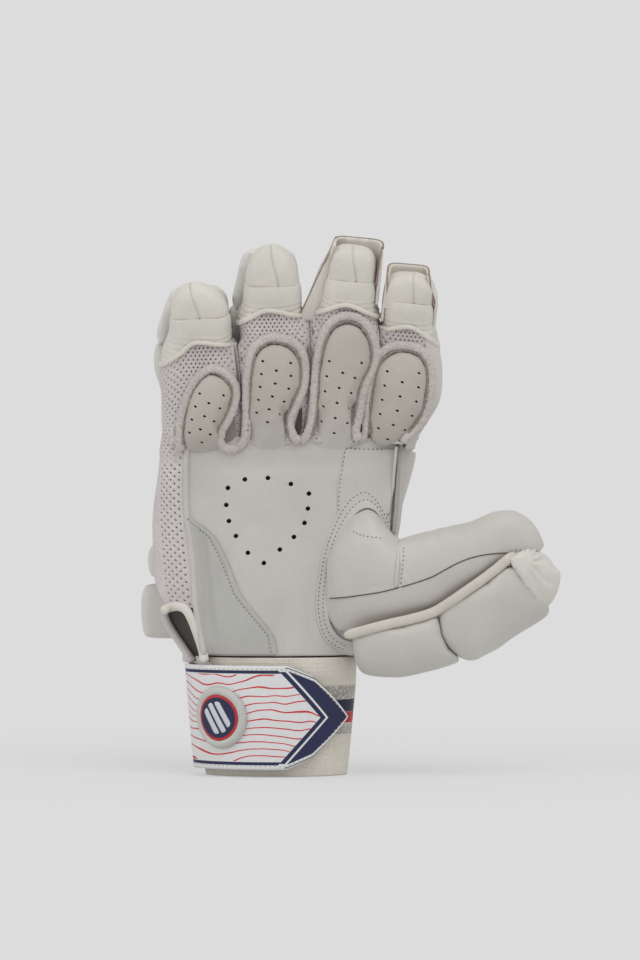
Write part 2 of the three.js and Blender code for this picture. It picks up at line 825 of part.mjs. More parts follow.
// Past the fold, each station's x is given from the fold.
const tipSleeveStations = [
  [seat / 2, thumb.foldZ - 0.8, seat / 2, 24.6, thumb.halfDepth],
  [15.5, thumb.foldZ + 2.8, 16, 34.8, thumb.halfDepth - 1],
  [28, thumb.foldZ + 8, 27, 43, thumb.halfDepth - 3],
  [37.5, thumb.foldZ + 8.4, 35.5, 49.4, thumb.tipHalfDepth],
  [45, thumb.foldZ + 3.3, 42, 53.6, thumb.tipHalfDepth - 3],
  [49, thumb.foldZ - 2.7, 47.5, 56.5, thumb.tipHalfDepth - 8],
].map(([topX, topZ, bottomX, ...rest]) => [thumb.foldX + topX, topZ, thumb.foldX + bottomX, ...rest]);

function thumbSleeve() {
  const outer = baseSleeveStations.map((station) => thumbRing(station, 0));
  const inner = baseSleeveStations.map((station) => thumbRing(station, thumb.wall));
  return piece('thumb_sleeve', sleeve(outer, inner), 'leather');
}

function thumbTipSleeve() {
  const outer = tipSleeveStations.map((station) => thumbRing(station, 0));
  const inner = tipSleeveStations.slice(0, 4).map((station) => thumbRing(station, thumb.wall));
  const mouth = inner[0].map((at) => at.clone().setX(at.x - 2));
  return piece('thumb_tip_sleeve', hollowed(solid(outer), solid([mouth, ...inner])), 'leather');
}

// The saddle joins the thumb to the palm: a raised shell, open behind, that ends in the sleeve's shape.
// Each station: x, low, high, front, back.
const saddleRoot = palmFront - 1.6;
const saddleStations = [
  [thumb.hingeX + 1.5, 20, 49, -28.5, saddleRoot],
  [thumb.hingeX + 5, 13, 56, -33, saddleRoot],
  [38, 12.5, 66.5, -39, saddleRoot + 1],
  [47, 14.8, 75.5, -43.5, saddleRoot + 7],
  [55, 16.8, 70, -45.6, saddleRoot + 11],
  [sleeveStart - seat, 18.6, 59.2, thumbY(sleeveStart) - thumb.halfDepth, saddleRoot + 12],
];

function thumbSaddle() {
  const rows = saddleStations.map(([x, low, high, front, back]) => {
    const arc = (inset) =>
      spread(Math.PI / 2, 1.5 * Math.PI, 15).map((angle) => {
        const [y, rise] = oval(back - front - inset, (high - low) / 2 - inset, 2.6, angle);
        return point(x, back + y, (low + high) / 2 + rise);
      });
    return wallSection(arc(0), arc(thumb.wall));
  });
  return piece('thumb_saddle', solid(rows), 'leather');
}

// The underside of the saddle and the sleeves, where the padding is sewn on.
const thumbSole = [
  ...saddleStations.map(([x, low]) => [x, low]),
  ...[...baseSleeveStations, ...tipSleeveStations].map(([, , bottomX, bottomZ]) => [bottomX, bottomZ]),
];

function soleAt(x) {
  return between(thumbSole, x)[0];
}

// A thumb roll hangs under the sole: flat above, crowned below. Each station: x and gap under the
// sole, x and height of the lowest point, half depth.
function thumbRoll(name, stations, finish) {
  const rows = stations.map(([topX, gap, bottomX, bottomZ, halfDepth]) =>
    spread(Math.PI, 2 * Math.PI, 15).map((angle) => {
      const [y, fall] = oval(halfDepth, 1, 2.6, angle);
      const share = Math.abs(fall);
      const x = lerp(topX, bottomX, share);
      return point(x, thumbY(topX) + y, lerp(soleAt(topX) - gap, bottomZ, share));
    }),
  );
  return piece(name, solid(rows), finish);
}

const soleGap = 2 * seat;
const capFromFold = 36.2;

// The base roll runs from beside the cuff to the fold. Each station: share of that length, how far the
// lowest point is past the top, its height, share of the full half depth.
const baseRollStart = cuffRight + thumb.cuffClearance;
const baseRollEnd = thumb.foldX - crease;

function thumbBaseRoll() {
  const stations = [
    [0, 1.2, -2, 0.82],
    [0.06, 1, -8.6, 0.95],
    [0.2, 1, -10.8, 1],
    [0.54, 1, -10.8, 1],
    [0.83, 3, -8.6, 1],
    [0.96, 3, -6, 0.95],
    [1, 3, -2, 0.85],
  ];
  const rows = stations.map(([share, reach, low, depthShare]) => {
    const x = lerp(baseRollStart, baseRollEnd, share);
    return [x, soleGap, x + reach, low, depthShare * thumb.rollHalfDepth];
  });
  return thumbRoll('thumb_base_roll', rows, 'leather');
}

// Stations past the fold: x from the fold, gap under the sole, reach of the lowest point, its height,
// share of the full half depth.
function pastFold([x, gap, reach, low, depthShare]) {
  return [thumb.foldX + x, gap, thumb.foldX + x + reach, low, depthShare * thumb.rollHalfDepth];
}

function thumbTipRoll() {
  const rows = [
    [1.6, soleGap, 3.8, 0, 0.85],
    [4, soleGap, 5.5, -2.4, 0.95],
    [9.5, soleGap, 7, -2.6, 1],
    [19.5, soleGap, 10, 3.6, 1],
    [29, soleGap, 14, 14.6, 0.96],
    [capFromFold - crease, soleGap, 17, 22.8, 0.9],
  ];
  return thumbRoll('thumb_tip_roll', rows.map(pastFold), 'leather');
}

// The gathered end that closes the thumb over its roll.
function thumbTipCap() {
  const rows = [
    [capFromFold, soleGap, 17, 23.4, 0.9],
    [capFromFold + 4.8, soleGap, 17.4, 29.4, 0.84],
    [capFromFold + 8.8, 1.4, 16, 35.6, 0.7],
    [capFromFold + 11.4, 2.4, 14, 41, 0.5],
    [capFromFold + 13.2, 2.9, 10, 46, 0.24],
  ];
  return thumbRoll('thumb_tip_cap', rows.map(pastFold), 'cream');
}

// The cream roll in the groove between sleeve and padding, on the palm side.
function thumbBinding(name, start, end) {
  const points = spread(start, end, 5).map((x) =>
    point(x, thumbY(x) - thumb.rollHalfDepth + thumb.bindingInset, soleAt(x) + thumb.bindingRise),
  );
  return piece(name, cordAlong(points, thumb.bindingRadius, 16), 'cream');
}

function makeThumb() {
  const ends = thumb.bindingEnds;
  const group = new THREE.Group();
  group.add(
    thumbSaddle(),
    thumbSleeve(),
    thumbBaseRoll(),
    thumbBinding('thumb_binding', baseRollStart + ends.start, thumb.foldX - ends.fold),
    thumbTipSleeve(),
    thumbTipRoll(),
    thumbTipCap(),
    thumbBinding('thumb_tip_binding', thumb.foldX + ends.tip, thumb.foldX + capFromFold - ends.cap),
  );
  return group;
}

// The whole glove

const hand = new THREE.Group();
hand.position.z = cuff.height;
hand.add(
  palmLeather(),
  heelPatch(),
  indexPatch(),
  backPanel(),
  sideMesh(),
  sideEdgeRoll(),
  indexSide(),
  wristBar('wrist_bar_lower', barFoot, wristBars.lowerHeight),
  wristBar('wrist_bar_upper', barSplit, wristBars.upperHeight),
  ...fingers.map(backRoll),
  ...fingers.map(makeFinger),
  makeThumb(),
);

const glove = new THREE.Group();
glove.add(
  cuffBand(),
  strapAnchor(),
  closurePad('loop_pad', padOffset),
  closurePad('hook_pad', hookOffset),
  strapTab(),
  strapBadge(),
  hand,
);

const size = new THREE.Box3().setFromObject(glove, true);
glove.position.set(-(size.min.x + size.max.x) / 2, -(size.min.y + size.max.y) / 2, -size.min.z);

export default glove;
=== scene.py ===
import json
import math

import bmesh
import bpy
from mathutils import Matrix, Vector, noise
from mathutils.bvhtree import BVHTree


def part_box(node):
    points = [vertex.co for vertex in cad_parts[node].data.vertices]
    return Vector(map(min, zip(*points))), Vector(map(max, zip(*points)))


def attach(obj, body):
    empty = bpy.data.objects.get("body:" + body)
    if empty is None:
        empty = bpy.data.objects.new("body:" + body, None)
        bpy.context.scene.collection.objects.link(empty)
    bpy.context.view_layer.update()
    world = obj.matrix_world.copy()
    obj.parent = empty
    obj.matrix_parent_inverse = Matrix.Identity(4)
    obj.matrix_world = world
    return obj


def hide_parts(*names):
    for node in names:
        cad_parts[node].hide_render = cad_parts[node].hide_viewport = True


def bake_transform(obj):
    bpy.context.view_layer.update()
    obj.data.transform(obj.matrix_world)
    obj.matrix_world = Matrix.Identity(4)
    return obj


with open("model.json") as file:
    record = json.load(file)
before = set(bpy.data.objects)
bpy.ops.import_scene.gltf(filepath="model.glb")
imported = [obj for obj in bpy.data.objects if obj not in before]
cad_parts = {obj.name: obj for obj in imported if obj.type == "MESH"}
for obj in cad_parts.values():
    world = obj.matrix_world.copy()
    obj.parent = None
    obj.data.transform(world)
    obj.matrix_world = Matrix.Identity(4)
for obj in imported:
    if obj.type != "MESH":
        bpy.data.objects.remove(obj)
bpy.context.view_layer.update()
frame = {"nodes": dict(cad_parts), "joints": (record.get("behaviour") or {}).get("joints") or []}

mm = 0.001  # sizes are in millimetres, points and spans in metres
scene = bpy.context.scene
scene.view_settings.view_transform = "Standard"


# shader wiring

class Wire:  # a socket of a node tree; sums on it add Math nodes
    def __init__(self, tree, socket=None):
        self.tree = tree
        self.socket = socket

    def add(self, kind, settings=None, inputs=None, out=0):
        made = self.tree.nodes.new(kind)
        for key, value in (settings or {}).items():
            setattr(made, key, value)
        for key, value in (inputs or {}).items():
            if isinstance(value, Wire):
                self.tree.links.new(value.socket, made.inputs[key])
            else:
                made.inputs[key].default_value = value
        return Wire(self.tree, made.outputs[out])

    def math(self, operation, *others):
        return self.add("ShaderNodeMath", {"operation": operation}, dict(enumerate((self, *others))))

    def __add__(self, other):
        return self.math("ADD", other)

    def __sub__(self, other):
        return self.math("SUBTRACT", other)

    def __rsub__(self, other):
        return (self * -1) + other

    def __mul__(self, other):
        return self.math("MULTIPLY", other)

    def __abs__(self):
        return self.math("ABSOLUTE")

    def ramp(self, low, high):  # 0 below low, 1 above high, smooth between
        settings = {"interpolation_type": "SMOOTHSTEP"}
        return self.add("ShaderNodeMapRange", settings, {0: self, 1: low, 2: high})

    def step(self, low, soft=0.1):
        return self.ramp(low, low + soft)

    def band(self, low, high, soft=0.1):  # 1 between low and high
        return self.step(low, soft) * (1 - self.step(high, soft))

    def tint(self, first, second):  # this value mixes two colours
        inputs = {0: self}
        for key, colour in ((6, first), (7, second)):
            inputs[key] = colour if isinstance(colour, Wire) else (*colour, 1)
        return self.add("ShaderNodeMix", {"data_type": "RGBA"}, inputs, out=2)


def linear(red, green, blue):  # a colour as a picture shows it, 0 to 255
    return tuple((c / 255 / 12.92) if c < 10.3 else ((c / 255 + 0.055) / 1.055) ** 2.4 for c in (red, green, blue))


def shaded(colour, factor):
    return tuple(c * factor for c in colour)


def newMaterial(name, roughness, **constants):  # a material, its shader and its object coordinates
    material = bpy.data.materials.new(name)
    material.use_nodes = True
    shader = material.node_tree.nodes["Principled BSDF"]
    shader.inputs["Roughness"].default_value = roughness
    for key, value in constants.items():
        shader.inputs[key.replace("_", " ")].default_value = value
    return material, shader, Wire(material.node_tree).add("ShaderNodeTexCoord", out=3)


def connect(shader, **wires):
    for key, wire in wires.items():
        wire.tree.links.new(wire.socket, shader.inputs[key.replace("_", " ")])


def bumped(height, distance, strength):
    return height.add("ShaderNodeBump", None, {"Height": height, "Distance": distance, "Strength": strength})


def noiseOf(place, scale, detail=3.0, rough=0.5):
    inputs = {"Vector": place, "Scale": scale, "Detail": detail, "Roughness": rough}
    return place.add("ShaderNodeTexNoise", None, inputs)


def stretched(place, scale, turn=(0, 0, 0)):
    return place.add("ShaderNodeMapping", None, {"Vector": place, "Scale": scale, "Rotation": turn})


def heightOf(place):
    return place.add("ShaderNodeSeparateXYZ", None, {0: place}, out=2)


def leatherOf(name, colour, roughness=0.52, wrinkle=0.5, foot=None):
    material, shader, place = newMaterial(name, roughness, Sheen_Weight=0.1, Sheen_Roughness=0.5)
    broad, speck = noiseOf(place, 28, 4), noiseOf(place, 420, 2)
    pebble = place.add("ShaderNodeTexVoronoi", {"feature": "F1"}, {"Vector": place, "Scale": 1250})
    folds = noiseOf(stretched(place, (1, 1, 2.6), (0.3, 0.2, 0.5)), 95, 5, 0.55)
    stain = (broad * 0.75 + speck * 0.25).ramp(0.3, 0.72)

    def stained(dye):
        return stain.tint(shaded(dye, 0.93), shaded(dye, 1.04))

    skin = stained(colour)
    if foot:  # another colour low down, and the heights between which it fades; the finger panels use it for painted shade, darker above and fading to the palm's colour at the foot
        low, start, end = foot
        skin = heightOf(place).ramp(start * mm, end * mm).tint(stained(low), skin)
    height = pebble * 0.22 + folds * wrinkle + speck * 0.12
    rough = broad * 0.16 + (roughness - 0.08)
    connect(shader, Base_Color=skin, Roughness=rough, Normal=bumped(height, 0.0005, 0.4))
    return material


def fabricOf(name, colour, thread=0.0006, fuzz=0.4):
    material, shader, place = newMaterial(name, 0.9, Sheen_Weight=0.25, Sheen_Roughness=0.6)
    soft, loops = noiseOf(place, 60, 3), noiseOf(place, 0.7 / thread, 3, 0.6)
    pile = place.add("ShaderNodeTexVoronoi", None, {"Vector": place, "Scale": 0.8 / thread})
    skin = (loops * 0.7 + soft * 0.3).ramp(0.3, 0.7).tint(shaded(colour, 0.8), shaded(colour, 1.1))
    connect(shader, Base_Color=skin, Normal=bumped(pile * 0.6 + loops * fuzz, 0.0006, 0.6))
    return material


def plainOf(name, colour, roughness, vary=0.12, scale=300):
    material, shader, place = newMaterial(name, roughness)
    speck = noiseOf(place, scale, 3)
    skin = speck.ramp(0.3, 0.7).tint(shaded(colour, 1 - vary), shaded(colour, 1 + vary))
    connect(shader, Base_Color=skin, Normal=bumped(speck, 0.0003, 0.3))
    return material


# the panel colour is the palm leather made darker: painted shade on finger panels that lean back from the light
palmColour, panelShadeColour = linear(196, 192, 186), linear(183, 177, 167)
palmHide = leatherOf("palm_hide", palmColour)
panelShadedHide = leatherOf("panel_hide", panelShadeColour, 0.55)
panelShadeFadeHide = leatherOf("panel_fade_hide", panelShadeColour, 0.55, foot=(palmColour, 163, 190))
patchHide = leatherOf("patch_hide", linear(179, 178, 173), 0.5, 0.3)
# the rolls' leather is made lighter: painted light on rolls that sit in shade
rollLitHide = leatherOf("roll_hide", linear(216, 213, 208), 0.5, 0.6)
# the thumb rolls take a darker copy of the same roll leather: painted shade
thumbRollShadedHide = leatherOf("thumb_roll_hide", linear(201, 198, 191), 0.5, 0.6)
bindingHide = leatherOf("binding_hide", linear(206, 201, 189), 0.5, 0.3)
capHide = leatherOf("cap_hide", linear(217, 213, 205), 0.5, 0.4)
creamHide = leatherOf("cream_hide", linear(216, 212, 203), 0.5, 0.4)
thumbHide = leatherOf("thumb_hide", linear(200, 196, 190), 0.52, 0.4)
thumbLowerHide = leatherOf("thumb_lower_hide", linear(198, 193, 187), 0.55, 0.4)
airMesh = fabricOf("air_mesh", linear(210, 203, 201), 0.0005)
towelling = fabricOf("towelling", linear(199, 191, 186), 0.0008, 0.8)
# darker cord along the inner side of the towelling: painted shade in the crease
creaseShadeCord = fabricOf("worn_edge", linear(148, 141, 132), 0.0007, 0.9)
# a very dark cloth for inside the hand and the vent: painted shade of the hollows
liningShadeCloth = fabricOf("lining_cloth", linear(74, 68, 64), 0.0007)
foldCloth = fabricOf("fold_cloth", linear(182, 176, 171), 0.0007)
gussetCloth = fabricOf("gusset_cloth", linear(134, 122, 118), 0.0007)
# near black for the walls of cut holes: painted shade inside the holes
holeShade = plainOf("dark_hole", linear(30, 26, 24), 0.9)
darkThread = plainOf("dark_thread", linear(88, 82, 76), 0.8)
paleThread = plainOf("pale_thread", linear(176, 172, 166), 0.8)
guardFibre = plainOf("guard_fibre", linear(216, 211, 201), 0.45, 0.04, 120)
rimBrown = plainOf("rim_brown", linear(150, 132, 120), 0.6)
pipingGrey = fabricOf("piping_grey", linear(170, 164, 155), 0.0006)
# dark cloth for the groove beside the piping: painted shade
grooveShade = fabricOf("groove_dark", linear(96, 90, 82), 0.0006)
# dark cloth for the crotch slits: painted shade in the gaps between fingers
slitShade = fabricOf("slit_dark", linear(66, 58, 54), 0.0006)
print("materials ready")


# making pieces

def addPiece(name, shape, *materials):
    mesh = bpy.data.meshes.new(name)
    shape.to_mesh(mesh)
    shape.free()
    for material in materials:
        mesh.materials.append(material)
    mesh.polygons.foreach_set("use_smooth", [True] * len(mesh.polygons))
    piece = bpy.data.objects.new(name, mesh)
    scene.collection.objects.link(piece)
    return piece


def modify(piece, kind, **settings):
    modifier = piece.modifiers.new(kind.lower(), kind)
    for key, value in settings.items():
        setattr(modifier, key, value)
    return modifier


def subdivide(piece, levels):
    modify(piece, "SUBSURF", levels=levels, render_levels=levels)
    return piece


def applied(piece):  # modifiers become the mesh
    bpy.context.view_layer.update()
    graph = bpy.context.evaluated_depsgraph_get()
    mesh = bpy.data.meshes.new_from_object(piece.evaluated_get(graph), preserve_all_data_layers=True, depsgraph=graph)
    old = piece.data
    piece.modifiers.clear()
    piece.data = mesh
    bpy.data.meshes.remove(old)
    mesh.name = piece.name
    mesh.polygons.foreach_set("use_smooth", [True] * len(mesh.polygons))
    return piece


def moved(piece, shift):  # each point moved by a vector that depends on where it is and which way it faces
    normals = [n.vector.copy() for n in piece.data.vertex_normals]
    for vertex, normal in zip(piece.data.vertices, normals):
        vertex.co += shift(vertex.co, normal)
    piece.data.update()
    return piece


def gridShape(columns, rows, place):  # a sheet: place gives the point for shares 0..1 across and up
    shape = bmesh.new()
    bmesh.ops.create_grid(shape, x_segments=columns, y_segments=rows, size=0.5)
    for vertex in shape.verts:
        vertex.co = place(vertex.co.x + 0.5, vertex.co.y + 0.5)
    return shape


def joined(shape, distance=0.00002):
    bmesh.ops.remove_doubles(shape, verts=shape.verts, dist=distance)
    bmesh.ops.recalc_face_normals(shape, faces=shape.faces)
    return shape


def relax(shape, verts):
    bmesh.ops.smooth_vert(shape, verts=verts, factor=0.5, use_axis_x=True, use_axis_y=True, use_axis_z=True)


def surfaceOf(*things):  # something rays can be cast at: CAD node names or finished pieces
    shape = bmesh.new()
    for thing in things:
        shape.from_mesh(frame["nodes"][thing].data if isinstance(thing, str) else thing.data)
    tree = BVHTree.FromBMesh(shape)
    shape.free()
    return tree


def struck(tree, x, z):  # the point that the camera's side shows at x, z, in mm, and its normal
    return tree.ray_cast(Vector((x * mm, -0.3, z * mm)), Vector((0, 1, 0)))[:2]


def frontPoint(tree, x, z):  # that point, or past a form's edge the depth of its nearest point
    hit = struck(tree, x, z)[0]
    if hit is None:
        near = tree.find_nearest(Vector((x * mm, -0.04, z * mm)))[0]
        hit = Vector((x * mm, near.y, z * mm))
    return hit


class Trail:  # a smooth line through points, read by its share of the length
    def __init__(self, points, closed=False):  # points are x, y, z or x, z
        points = [Vector(p if len(p) == 3 else (p[0], 0, p[1])) for p in points]
        last = len(points) - 1
        self.steps = []
        for i in range(last + closed):
            four = [i + k for k in (-1, 0, 1, 2)]
            four = [points[k % len(points) if closed else min(max(k, 0), last)] for k in four]
            self.steps += [self.bend(*four, k / 12) for k in range(12)]
        self.steps.append(points[0 if closed else last])
        self.lengths = [0.0]
        for a, b in zip(self.steps, self.steps[1:]):
            self.lengths.append(self.lengths[-1] + (b - a).length)
        self.length = self.lengths[-1]

    def bend(self, a, b, c, d, t):
        return 0.5 * (2 * b + (c - a) * t + (2 * a - 5 * b + 4 * c - d) * t * t + (3 * b - a - 3 * c + d) * t ** 3)

    def at(self, share):
        want = min(max(share, 0), 1) * self.length
        low, high = 0, len(self.lengths) - 1
        while high - low > 1:
            half = (low + high) // 2
            low, high = (half, high) if self.lengths[half] <= want else (low, half)
        span = self.lengths[high] - self.lengths[low]
        return self.steps[low].lerp(self.steps[high], (want - self.lengths[low]) / span if span else 0)

    def along(self, share):
        return (self.at(share + 0.004) - self.at(share - 0.004)).normalized()


def cordShape(points, wide, thick=None, face=(0, -1, 0), around=10, step=1.4, ends=0.6, rough=0.0):
    # a round or flat cord through points in metres; its thick side looks along face; sizes in mm
    trail = Trail(points)
    thick = thick or wide
    rows = max(6, int(trail.length / (step * mm)))
    facing = Vector(face)

    def place(u, v):
        centre, ahead = trail.at(v), trail.along(v)
        side = ahead.cross(facing).normalized()
        out = side.cross(ahead).normalized()
        inset = min(v, 1 - v) * trail.length / (ends * wide * mm)
        taper = math.sqrt(max(0, 1 - (1 - min(inset, 1)) ** 2))
        angle = 2 * math.pi * u
        spread = side * (math.cos(angle) * wide) + out * (math.sin(angle) * thick)
        point = centre + spread * (taper * mm)
        if rough:
            point += spread.normalized() * (noise.noise(point * 900) * rough * taper * mm)
        return point

    return joined(gridShape(around, rows, place))


def between(table, at):  # linear reading of a table of pairs
    if at <= table[0][0]:
        return table[0][1]
    for (a, first), (b, second) in zip(table, table[1:]):
        if at <= b:
            return first + (second - first) * (at - a) / (b - a)
    return table[-1][1]


def bell(off, width):  # 1 in the middle, near 0 two widths off
    return math.exp(-(off / width) ** 2)


def smoothStep(low, high, value):  # 0 at low, 1 at high
    t = min(max((value - low) / (high - low), 0), 1)
    return t * t * (3 - 2 * t)


def remeshed(name, node, material, voxel, smooth):  # an even, softened copy of a CAD solid
    shape = bmesh.new()
    shape.from_mesh(frame["nodes"][node].data)
    bmesh.ops.remove_doubles(shape, verts=shape.verts, dist=0.00001)
    piece = addPiece(name, shape, material)
    modify(piece, "REMESH", mode="VOXEL", voxel_size=voxel * mm)
    modify(piece, "SMOOTH", factor=0.5, iterations=smooth)
    return applied(piece)


padding = {"shrink": 0.6, "pressure": 4, "stiffness": 12, "frames": 20}
rollSizes = {  # size of a cell, rounds of smoothing, most swelling
    "tip": (2.6, 5, 1.0), "finger": (3.2, 4, 1.2), "hand": (3.4, 4, 1.2), "thumb": (3.0, 4, 1.2),
}


def softCopy(name, node, material, voxel, smooth, plump):
    # a padded copy of a CAD solid: drawn in a little, blown up as cloth by plump at most, then smoothed
    piece = remeshed(name, node, material, voxel, smooth)
    moved(piece, lambda at, normal: normal * (-padding["shrink"] * mm))
    rest = [v.co.copy() for v in piece.data.vertices]
    cloth = modify(piece, "CLOTH")
    cloth.settings.use_pressure = True
    cloth.settings.uniform_pressure_force = padding["pressure"]
    cloth.settings.tension_stiffness = padding["stiffness"]
    cloth.settings.compression_stiffness = padding["stiffness"]
    cloth.settings.effector_weights.gravity = 0
    cloth.point_cache.frame_start = 1
    cloth.point_cache.frame_end = padding["frames"]
    for number in range(1, padding["frames"] + 1):
        scene.frame_set(number)
    applied(piece)
    scene.frame_set(1)
    for vertex, start in zip(piece.data.vertices, rest):
        step = vertex.co - start
        if step.length > plump * mm:
            vertex.co = start + step * (plump * mm / step.length)
    piece.data.update()
    return applied(subdivide(piece, 1))


def sheet(name, grid, place, *materials, levels=0, flip=False, relief=None):
    # a sheet without its wall: flip turns it to the camera's side, relief moves its points after subdivision
    piece = addPiece(name, gridShape(*grid, place), *materials)
    if flip and sum(p.normal.y * p.area for p in piece.data.polygons) > 0:
        piece.data.flip_normals()
    if levels:
        applied(subdivide(piece, levels))
    return moved(piece, relief) if relief else piece


def closedWall(piece, thick, levels=0):
    modify(piece, "SOLIDIFY", thickness=thick * mm, offset=-1)
    if levels:
        subdivide(piece, levels)
    return applied(piece)


def turnOf(normal, ahead):  # the way something lies on a surface
    side = normal.cross(ahead).normalized()
    return Matrix((side.cross(normal).normalized(), side, normal)).transposed().to_4x4()


stitchSizes = {  # pitch, length, half width
    "tip": (1.5, 0.9, 0.16), "hem": (2.0, 1.1, 0.26), "patch": (2.2, 1.2, 0.28), "seam": (2.1, 1.2, 0.28),
    "thumbTip": (1.9, 1.1, 0.26), "strap": (2.4, 1.5, 0.24),
}
stitchSink = 0.05
stitchShapes = {}  # body and thread to the mesh that collects its stitches


def stitchLine(body, tree, points, kind, thread=darkThread):
    # a run of short stitches over a surface; points are x, z in mm, or 3D in metres
    pitch, length, width = stitchSizes[kind]
    shape = stitchShapes.setdefault((body, thread.name), (bmesh.new(), thread))[0]
    trail = Trail(points if len(points[0]) == 3 else [frontPoint(tree, x, z) for x, z in points])
    count = max(1, int(trail.length / (pitch * mm)))
    size = Matrix.Diagonal((length / 2 * mm, width * mm, width * mm, 1))
    for k in range(count):
        share = (k + 0.5) / count
        hit, normal, *rest = tree.find_nearest(trail.at(share))
        spot = Matrix.Translation(hit - normal * (stitchSink * mm)) @ turnOf(normal, trail.along(share)) @ size
        bmesh.ops.create_icosphere(shape, subdivisions=1, radius=1, matrix=spot)


def cutHoles(piece, spots, radius, depth, stretch, tangled=False):
    # holes cut by small plugs; spots are point, normal and direction; tangled is for a mesh that meets itself. The hole
    # walls take the plugs' near-black colour: painted shade
    shape = bmesh.new()
    size = Matrix.Diagonal((stretch, 1, 1, 1))
    for at, normal, ahead in spots:
        bmesh.ops.create_cone(
            shape, cap_ends=True, segments=10, radius1=radius * mm, radius2=radius * mm, depth=depth * mm,
            matrix=Matrix.Translation(at) @ turnOf(normal, ahead) @ size,
        )
    plugs = addPiece(piece.name + "_plugs", shape, holeShade)
    settings = {"operation": "DIFFERENCE", "solver": "EXACT", "material_mode": "TRANSFER", "use_self": tangled}
    modify(piece, "BOOLEAN", object=plugs, **settings)
    applied(piece)
    bpy.data.objects.remove(plugs)


def dressed(piece, slot, nodes, padded):
    if nodes:
        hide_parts(*nodes)
    return piece


def settle(piece, body, slot, *nodes, padded=None):
    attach(piece, body)
    return dressed(piece, slot, nodes, padded)


def crossing(piece, first, second, start, end, slot, *nodes, padded=None):
    tuple(start)
    tuple(end)
    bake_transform(piece)
    return dressed(piece, slot, nodes, padded)


# camera, floor and light

studio = {
    "lens": 135.0,
    "viewHeight": 480.0,  # what the picture's height covers at the palm
    "middle": (-16.05, 148.5),
    "palmPlane": -15.0,
    "backdrop": 0.716,
    "ambient": 0.62,
}

cameraData = bpy.data.cameras.new("camera")
cameraData.lens = studio["lens"]
cameraData.sensor_width = 36
camera = bpy.data.objects.new("camera", cameraData)
distance = studio["viewHeight"] / 36 * studio["lens"]
camera.location = Vector((studio["middle"][0], studio["palmPlane"] - distance, studio["middle"][1])) * mm
camera.rotation_euler = (math.pi / 2, 0, 0)
scene.collection.objects.link(camera)
scene.camera = camera

floorMaterial, floorShader, floorPlace = newMaterial("floor_paper", 0.9, Base_Color=(0.8, 0.8, 0.8, 1))
glow = floorPlace.add("ShaderNodeEmission", None, {"Color": (studio["backdrop"],) * 3 + (1,)})
seen = floorPlace.add("ShaderNodeLightPath", out="Is Camera Ray")
away = floorPlace.add("ShaderNodeVectorMath", {"operation": "LENGTH"}, {0: floorPlace}, out=1)
share = seen * (away.ramp(0.1, 0.42) * 0.42 + 0.58)  # the paper fades into the backdrop away from the object
paper = Wire(floorMaterial.node_tree, floorShader.outputs[0])
blended = floorPlace.add("ShaderNodeMixShader", None, {0: share, 1: paper, 2: glow})
connect(floorMaterial.node_tree.nodes["Material Output"], Surface=blended)
sheet("floor", (2, 2), lambda u, v: Vector(((u - 0.5) * 12, (v - 0.35) * 9, 0)), floorMaterial)

world = bpy.data.worlds.new("studio")
world.use_nodes = True
scene.world = world
sky = Wire(world.node_tree).add("ShaderNodeLightPath", out="Is Camera Ray")
level = sky * (studio["backdrop"] - studio["ambient"]) + studio["ambient"]
connect(world.node_tree.nodes["Background"], Color=level)


def addLamp(name, place, aim, size, power):
    data = bpy.data.lights.new(name, "AREA")
    data.shape = "RECTANGLE"
    data.size, data.size_y = size
    data.energy = power
    lamp = bpy.data.objects.new(name, data)
    lamp.location = place
    lamp.rotation_euler = (Vector(aim) - Vector(place)).to_track_quat("-Z", "Y").to_euler()
    scene.collection.objects.link(lamp)


addLamp("key", (0.5, -0.9, 1.5), (0, 0, 0.12), (1.1, 1.1), 9)
addLamp("left_fill", (-1.3, -0.7, 0.8), (0, 0, 0.12), (1.0, 1.2), 4)
print("studio ready")

# fingers

joints = {joint["name"]: joint for joint in frame["joints"]}
crease = joints["ring_knuckle"]["pos_m"][2] / mm  # height where the fingers leave the palm
tipTilt = math.radians(14)

